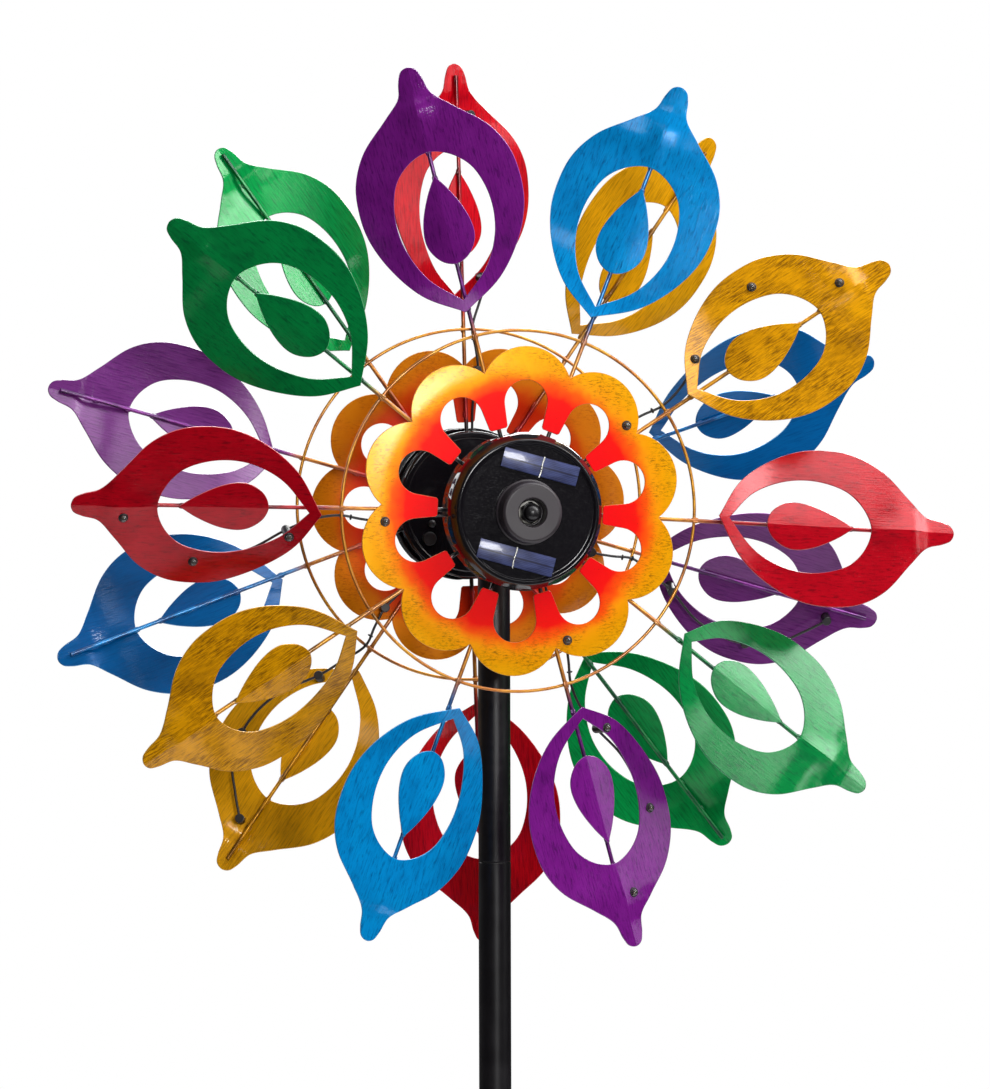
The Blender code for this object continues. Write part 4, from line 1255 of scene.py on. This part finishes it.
def make_stake():
    """The buried foot: a neck for the pole, a step plate and three prongs."""
    top = HEAD_SEAM - 2 * SECTION_LENGTH
    neck = POLE_RADIUS - POLE_WALL - GAP
    weld = POLE_RADIUS + 0.003
    thickness = STEP_PLATE[2]
    bm = turning([
        (0, top + NECK_LENGTH), (neck, top + NECK_LENGTH), (neck, top - GAP), (POLE_RADIUS, top - GAP),
        (POLE_RADIUS, thickness + 0.003), (weld, thickness), (weld, 0.003), (0, 0.003),
    ], 40, 0.0006)
    stake = finish_piece("stake_forging", bm, "stake_coat", "ground_stake")
    bm = new_shape()
    plate(bm, STEP_PLATE, 0.0012, (0, 0, thickness / 2))
    prong = filleted([
        (0, 0.004), (PRONG_RADIUS, 0.004), (PRONG_RADIUS, PRONG_TAPER - PRONG_DEPTH),
        (0.0012, -PRONG_DEPTH), (0, -PRONG_DEPTH),
    ], 0.0006)
    for x in (-PRONG_SPREAD, 0, PRONG_SPREAD):
        turned(bm, prong, 28, Matrix.Translation((x, 0, 0)))
    join_shape(stake, bm, "UNION")


def make_axle_parts():
    """On each side of the pole a spacer, and a domed hexagon nut on the axle's end."""
    near = CROSS_TUBE_HALF + GAP
    far = WHEEL_OFFSET + SLEEVE_BACK - SPACER_PLAY
    ring = [(BORE_RADIUS, near), (SPACER_RADIUS, near), (SPACER_RADIUS, far), (BORE_RADIUS, far)]
    for name, side in (("front_", -1), ("rear_", 1)):
        outward = Matrix.Translation((0, 0, AXLE_HEIGHT)) @ Matrix.Rotation(-side * math.pi / 2, 4, "X")
        bm = turning(ring, 40, 0.0005, matrix=outward)
        finish_piece(name + "spacer_turning", bm, "nylon", name + "spacer")
        make_dome_nut(name, outward)


def make_dome_nut(name, outward):
    """A hexagon with chamfered corners, a dome over it and a blind bore."""
    seat = WHEEL_OFFSET + NUT_SEAT
    top = seat + DOME_HEIGHT
    bore_top = seat + NUT_BORE_DEPTH
    tip = 0.0004

    def profile_at(angle):
        flat = NUT_HALF_FLATS / math.cos((angle + math.pi / 6) % (math.pi / 3) - math.pi / 6)
        corner = min(flat, NUT_CORNER)
        return [
            (BORE_RADIUS, seat), (0.0062, seat), (corner, seat + 0.0005), (corner, seat + 0.0044),
            (min(corner, 0.0066), seat + 0.0051), (0.0056, seat + 0.0055), (0.0054, seat + 0.0075),
            (0.0049, seat + 0.0092), (0.0038, seat + 0.0105), (0.0022, seat + 0.0112),
            (2 * tip, top - 0.00002), (tip, top), (tip, bore_top), (BORE_RADIUS, bore_top - 0.0002),
        ]

    bm = swept_round(profile_at, 72)
    for height in (top, bore_top):
        ring = [v for v in bm.verts if v.co.xy.length < 1.2 * tip and abs(v.co.z - height) < 1e-5]
        bmesh.ops.pointmerge(bm, verts=ring, merge_co=(0, 0, height))
    finish_piece(name + "cap_nut", bm, "black_hardware", name + "dome_nut", matrix=outward, sharp=35)


def dress_cad_nodes():
    """Materials for the CAD nodes that stay: they are hidden inside the hubs or the pole."""
    wanted = {"axle": "steel"}
    for prefix in ("front_", "rear_"):
        wanted[prefix + "battery"] = "battery_wrap"
        wanted[prefix + "circuit_board"] = "circuit_board"
    for node, look in wanted.items():
        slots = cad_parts[node].data.materials
        slots.clear()
        slots.append(LOOKS[look])


# ---------------------------------------------------------------- studio

CAMERA_AZIMUTH = math.radians(-12.35)
CAMERA_ELEVATION = math.radians(1.9855)
CAMERA_ROLL = math.radians(-0.1544)
CAMERA_DISTANCE = 4.9851
CAMERA_SHIFT = (0.0009, -0.0251)
CAMERA_LENS = 242.35
FLOOR_HEIGHT = -PRONG_DEPTH - 0.001
FLOOR_RADIUS = 1.8
FLOOR_THICKNESS = 0.02
WORLD_LIGHT = ((0.0, (0.05, 0.05, 0.052)), (0.9, (0.10, 0.10, 0.105)))
OVERHEAD = {"From Min": 0.84, "From Max": 0.92, "To Min": 1.0, "To Max": 18.0}

# name: (place from the axle's middle, what it faces, width, height, radiance)
LAMPS = {
    "key": ((0.763, -0.755, 1.56), (1.093, 0.525, 0.33), 1.1, 1.2, 4.6),
    "side_key": ((2.069, -1.09, 1.56), (2.40, 0.19, 0.33), 1.6, 1.2, 12.0),
    "front": ((0.17, -3.22, 0.40), (0, 0, 0), 0.5, 0.5, 48.0),
    "right": ((2.15, -1.05, 0.25), (0, 0, 0), 0.6, 0.9, 2.6),
    "left": ((-1.05, -2.28, 1.46), (0, 0, 0), 0.8, 0.50, 4.0),
    "glint": ((1.66, -1.90, 0.63), (0, 0, 0), 0.4, 0.4, 7.0),
    "back": ((0.90, 2.60, 1.30), (0, 0, 0), 1.6, 1.2, 12.0),
    "back_left": ((-1.80, 2.20, 0.80), (0, 0, 0), 1.2, 1.2, 5.0),
}


def make_camera():
    a, e, r = CAMERA_AZIMUTH, CAMERA_ELEVATION, CAMERA_ROLL
    back = Vector((math.sin(a) * math.cos(e), -math.cos(a) * math.cos(e), math.sin(e)))
    level = Vector((math.cos(a), math.sin(a), 0))
    upright = back.cross(level)
    right = math.cos(r) * level + math.sin(r) * upright
    up = math.cos(r) * upright - math.sin(r) * level
    camera = bpy.data.cameras.new("camera")
    camera.lens = CAMERA_LENS
    camera.sensor_width = 36
    camera.clip_end = 100
    matrix = Matrix((right, up, back)).transposed().to_4x4()
    target = Vector((0, 0, AXLE_HEIGHT)) + CAMERA_SHIFT[0] * right + CAMERA_SHIFT[1] * up
    matrix.translation = target + CAMERA_DISTANCE * back
    bpy.context.scene.camera = hold(camera, matrix)


def hold(data, matrix):
    """An object in the scene for a lamp's or a camera's data."""
    holder = bpy.data.objects.new(data.name, data)
    bpy.context.scene.collection.objects.link(holder)
    holder.matrix_world = matrix
    return holder


def make_lamp(name, place, aim, width, height, radiance):
    """A softbox: a rectangle of this radiance."""
    lamp = bpy.data.lights.new(name, "AREA")
    lamp.shape = "RECTANGLE"
    lamp.size = width
    lamp.size_y = height
    lamp.energy = radiance * math.pi * width * height
    matrix = (Vector(place) - Vector(aim)).to_track_quat("Z", "Y").to_matrix().to_4x4()
    matrix.translation = Vector(place) + Vector((0, 0, AXLE_HEIGHT))
    hold(lamp, matrix)


def make_world():
    """A white surround as the camera sees it, and for light a dim one, brighter overhead."""
    world = bpy.data.worlds.new("studio")
    world.use_nodes = True
    nodes = world.node_tree.nodes
    join = world.node_tree.links.new
    seen = nodes["Background"]
    seen.inputs["Color"].default_value = (1, 1, 1, 1)
    lit, place, parts, ramp, overhead, path, mixed = (nodes.new("ShaderNode" + kind) for kind in (
        "Background", "TexCoord", "SeparateXYZ", "ValToRGB", "MapRange", "LightPath", "MixShader",
    ))
    for element, (height, colour) in zip(ramp.color_ramp.elements, WORLD_LIGHT):
        element.position = height
        element.color = (*colour, 1)
    for key, value in OVERHEAD.items():
        overhead.inputs[key].default_value = value
    join(place.outputs["Generated"], parts.inputs["Vector"])
    join(parts.outputs["Z"], ramp.inputs["Fac"])
    join(parts.outputs["Z"], overhead.inputs["Value"])
    join(ramp.outputs["Color"], lit.inputs["Color"])
    join(overhead.outputs["Result"], lit.inputs["Strength"])
    join(path.outputs["Is Camera Ray"], mixed.inputs["Fac"])
    join(lit.outputs["Background"], mixed.inputs[1])
    join(seen.outputs["Background"], mixed.inputs[2])
    join(mixed.outputs["Shader"], nodes["World Output"].inputs["Surface"])
    bpy.context.scene.world = world


def make_floor():
    made = Nodes("floor_look")
    clouds = made.noise(made.objects_place(), 3.0, 2.0, 0.5, 99.0)
    shade = made.mix(made.step(clouds, 0.3, 0.7), linear(236, 236, 237), linear(240, 240, 240))
    low = FLOOR_HEIGHT - FLOOR_THICKNESS
    bm = turning([(0, FLOOR_HEIGHT), (FLOOR_RADIUS, FLOOR_HEIGHT), (FLOOR_RADIUS, low), (0, low)], 96, 0.004)
    new_object("floor", bm, made.finish(Base_Color=shade, Roughness=0.80, Specular_IOR_Level=0.1))


def make_studio():
    make_camera()
    make_world()
    make_floor()
    for name, settings in LAMPS.items():
        make_lamp(name + "_softbox", *settings)
    bpy.context.scene.view_settings.view_transform = "Standard"


make_studio()
make_pole()
make_joint_screws()
make_stake()
make_axle_parts()
make_wheel("front_", -1, FRONT_PHASE, FRONT_SET, FRONT_REACH, FRONT_STRING_RODS)
make_wheel("rear_", 1, REAR_PHASE, REAR_SET, REAR_REACH, REAR_STRING_RODS)
dress_cad_nodes()
